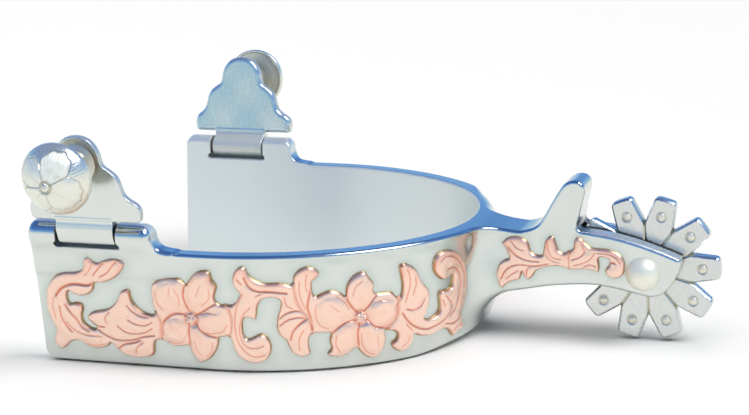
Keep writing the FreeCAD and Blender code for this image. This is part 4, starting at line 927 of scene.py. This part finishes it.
def cap_mesh(side):
    """Domed cap with a petalled flower cut into it, a bead on top and a rolled rim."""
    ball = (CAP_R ** 2 + CAP_DOME_H ** 2) / (2 * CAP_DOME_H)
    rr = np.concatenate([np.linspace(0.02, CAP_R - 0.25, 110), [CAP_R - 0.13, CAP_R - 0.05, CAP_R]])
    th = np.linspace(0, 2 * math.pi, 300, endpoint=False)
    R, T = np.meshgrid(rr, th, indexing="ij")
    high = np.sqrt(ball ** 2 - R ** 2) - (ball - CAP_DOME_H)
    turn = (T + math.radians(88)) % math.tau - math.radians(88)
    which = np.searchsorted(PETAL_NOTCHES, turn, side="right") - 1
    start, end = PETAL_NOTCHES[which], PETAL_NOTCHES[which + 1]
    u = (turn - start) / (end - start)
    lobe = np.sin(math.pi * u) ** 0.55
    edge = 4.2 + 2.5 * lobe + 0.12 * np.sin(turn * 19)
    cut = vee(np.abs(R - edge), 0.26)
    nearest = np.minimum(u, 1 - u) * (end - start) * R
    between = vee(nearest, 0.22) * smooth((R - 1.0) / 0.5) * smooth((edge + 0.3 - R) / 0.4)
    inside = smooth((edge - R) / 0.25)
    busy = np.array([0.35, 1.0, 0.45, 0.4])[which]
    strokes = np.clip(np.cos(turn * 40 + 3.0 * np.sin(turn * 5) + 1.5 * np.sin(R * 1.7)), 0, 1) ** 1.5
    strokes = strokes * (0.4 + 0.6 * smooth(0.5 + np.sin(R * 2.6 + turn * 9)))
    hatch = strokes * inside * smooth((R - edge + 1.6 + 2.6 * busy) / 1.2) * busy
    small = np.clip(np.cos(turn * 60 + R), 0, 1) ** 2 * smooth((R - edge - 0.2) / 0.3)
    small = small * smooth((CAP_R - 0.3 - R) / 0.3)
    veins = vee(np.abs(u - 0.5) * (end - start) * R, 0.14)
    veins = veins * smooth((R - 1.4) / 0.5) * smooth((edge - 2.2 - R) / 0.5)
    swell = 0.30 * smooth((edge - R) / 1.4) * smooth((R - 0.9) / 0.8)
    ripple = 0.10 * busy * np.sin(R * 2.3 + 2.0 * np.sin(turn * 3)) * np.sin(turn * 6 + R) * inside
    deep = 0.18 * cut + 0.20 * between + 0.15 * hatch + 0.05 * small + 0.07 * veins + ripple
    bead = 0.65 * np.sqrt(np.clip(1 - (R / 0.95) ** 2, 0, 1)) - 0.25 * np.exp(-((R - 1.15) / 0.25) ** 2)
    h = RIM_OUT + high + swell - deep + bead
    tone = np.clip(0.8 * cut + 0.7 * between + 0.42 * hatch + 0.2 * small + 0.4 * veins
                   + 0.6 * np.exp(-((R - 1.15) / 0.2) ** 2), 0, 1) * 0.6
    # frosted engraving inside the petals, whiter and less metallic, strongest on the busiest petal, where it
    # is a painted highlight
    frost = inside * busy * smooth((R - 0.8) / 0.6)
    under = [(CAP_R, 0.2), (CAP_R, 0.8), (CAP_R - 0.1, 1.02), (CAP_R - 0.25, BACK_T),
             (CAP_R - CAP_WALL, BACK_T), (CAP_R - CAP_WALL, 0)]
    R = np.vstack([R] + [np.full(th.shape, r) for r, _ in under])
    h = np.vstack([h] + [np.full(th.shape, RIM_OUT - drop) for _, drop in under])
    tone, frost = (np.pad(mark, ((0, len(under)), (0, 0))).ravel() for mark in (tone, frost))
    s = BUTTON_S + CAP_SCALE[side] * R * np.cos(th)
    up = WING_UP + BUTTON_UP + CAP_SCALE[side] * R * np.sin(th)
    n, m = R.shape
    verts = hinge_to_world(s, PLATE_IN + PLATE_T + h, up, side).reshape(-1, 3)
    i, j = np.meshgrid(np.arange(n - 1), np.arange(m), indexing="ij")
    i, j = i.ravel(), j.ravel()
    k = (j + 1) % m
    faces = np.stack([i * m + j, (i + 1) * m + j, (i + 1) * m + k, i * m + k], 1)
    faces = faces.tolist() + [list(range(m)), list(range(n * m - 1, (n - 1) * m - 1, -1))]
    return verts, [face[::side] for face in faces], tone, frost


for side, word in ((-1, "left"), (1, "right")):
    v, q, tn, fr = cap_mesh(side)
    cap = make(word + "_cap_engraved", v, q, SILVER_CUT, word + "_hanger", "button_silver", tone=tn, frost=fr)
    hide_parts(word + "_button_cap")


# ---- surroundings ----
def floor():
    me = bpy.data.meshes.new("floor")
    s, drop = 6.0, -0.0004
    me.from_pydata([(-s, -s, drop), (s, -s, drop), (s, s, drop), (-s, s, drop)], [], [(0, 1, 2, 3)])
    m = bpy.data.materials.new("floor_white")
    m.use_nodes = True
    b = m.node_tree.nodes["Principled BSDF"]
    b.inputs["Base Color"].default_value = (0.88, 0.88, 0.87, 1)
    b.inputs["Roughness"].default_value = 0.9
    b.inputs["Specular IOR Level"].default_value = 0.1
    me.materials.append(m)
    ob = bpy.data.objects.new("floor", me)
    bpy.context.scene.collection.objects.link(ob)


floor()

world = bpy.data.worlds.new("sky")
bpy.context.scene.world = world
world.use_nodes = True
world.cycles_visibility.diffuse = False
bg = world.node_tree.nodes["Background"]
wco = node(world, "ShaderNodeTexCoord")
sep = node(world, "ShaderNodeSeparateXYZ")
ramp = node(world, "ShaderNodeValToRGB")
lift = node(world, "ShaderNodeMath", _1=0.05)
lift.operation = "MULTIPLY_ADD"
for start, end in ((wco.outputs["Generated"], sep.inputs[0]), (sep.outputs["Y"], lift.inputs[0]),
                   (sep.outputs["Z"], lift.inputs[2]), (lift.outputs[0], ramp.inputs[0]),
                   (ramp.outputs[0], bg.inputs["Color"])):
    world.node_tree.links.new(start, end)
stops = [(0.0, (0.95, 0.97, 0.95)), (0.05, (0.82, 0.92, 0.95)), (0.12, (0.56, 0.77, 0.95)),
         (0.20, (0.35, 0.61, 0.95)), (0.29, (0.19, 0.43, 0.88)), (0.45, (0.10, 0.27, 0.68)),
         (0.75, (0.07, 0.17, 0.48)), (1.0, (0.06, 0.14, 0.40))]
while len(ramp.color_ramp.elements) < len(stops):
    ramp.color_ramp.elements.new(0.5)
for e, (at, c) in zip(ramp.color_ramp.elements, stops):
    e.position = at
    e.color = (*c, 1)
bg.inputs["Strength"].default_value = 1.0


def aim(ob, where, target):
    """Places a lamp and points it at the target."""
    ob.location = where
    d = Vector(target) - Vector(where)
    ob.rotation_euler = d.to_track_quat("-Z", "Y").to_euler()
    bpy.context.scene.collection.objects.link(ob)


sun = bpy.data.lights.new("sun", "SUN")
sun.energy = 1.8
sun.angle = math.radians(32)
aim(bpy.data.objects.new("sun", sun), (0.6, -0.12, 0.9), (0, 0, 0))
fill = bpy.data.lights.new("fill", "AREA")
fill.shape = "SQUARE"
fill.size = 4.0
fill.energy = 78
fill_ob = bpy.data.objects.new("fill", fill)
fill_ob.visible_glossy = False
aim(fill_ob, (-0.4, -0.3, 2.4), (0, 0, 0))

AZIMUTH, ELEVATION, ROLL = math.radians(18.17), math.radians(13.99), math.radians(1.91)
CAMERA_AT = (129.25, -416.5, 135.5)
LENS, SENSOR = 97.0914, 36
cam_data = bpy.data.cameras.new("camera")
cam = bpy.data.objects.new("camera", cam_data)
bpy.context.scene.collection.objects.link(cam)
right = np.array([math.cos(AZIMUTH), math.sin(AZIMUTH), 0])
back = np.array([math.sin(AZIMUTH) * math.cos(ELEVATION), -math.cos(AZIMUTH) * math.cos(ELEVATION),
                 math.sin(ELEVATION)])
up = np.cross(back, right)
cx = math.cos(ROLL) * right - math.sin(ROLL) * up
cy = math.sin(ROLL) * right + math.cos(ROLL) * up
placed = np.eye(4)
placed[:3, :3] = np.stack([cx, cy, back], 1)
placed[:3, 3] = np.array(CAMERA_AT) * MM
cam.matrix_world = Matrix(placed.tolist())
cam_data.sensor_width = SENSOR
cam_data.lens = LENS
cam_data.clip_start = 0.01
cam_data.clip_end = 50
bpy.context.scene.camera = cam
bpy.context.scene.view_settings.view_transform = "Standard"
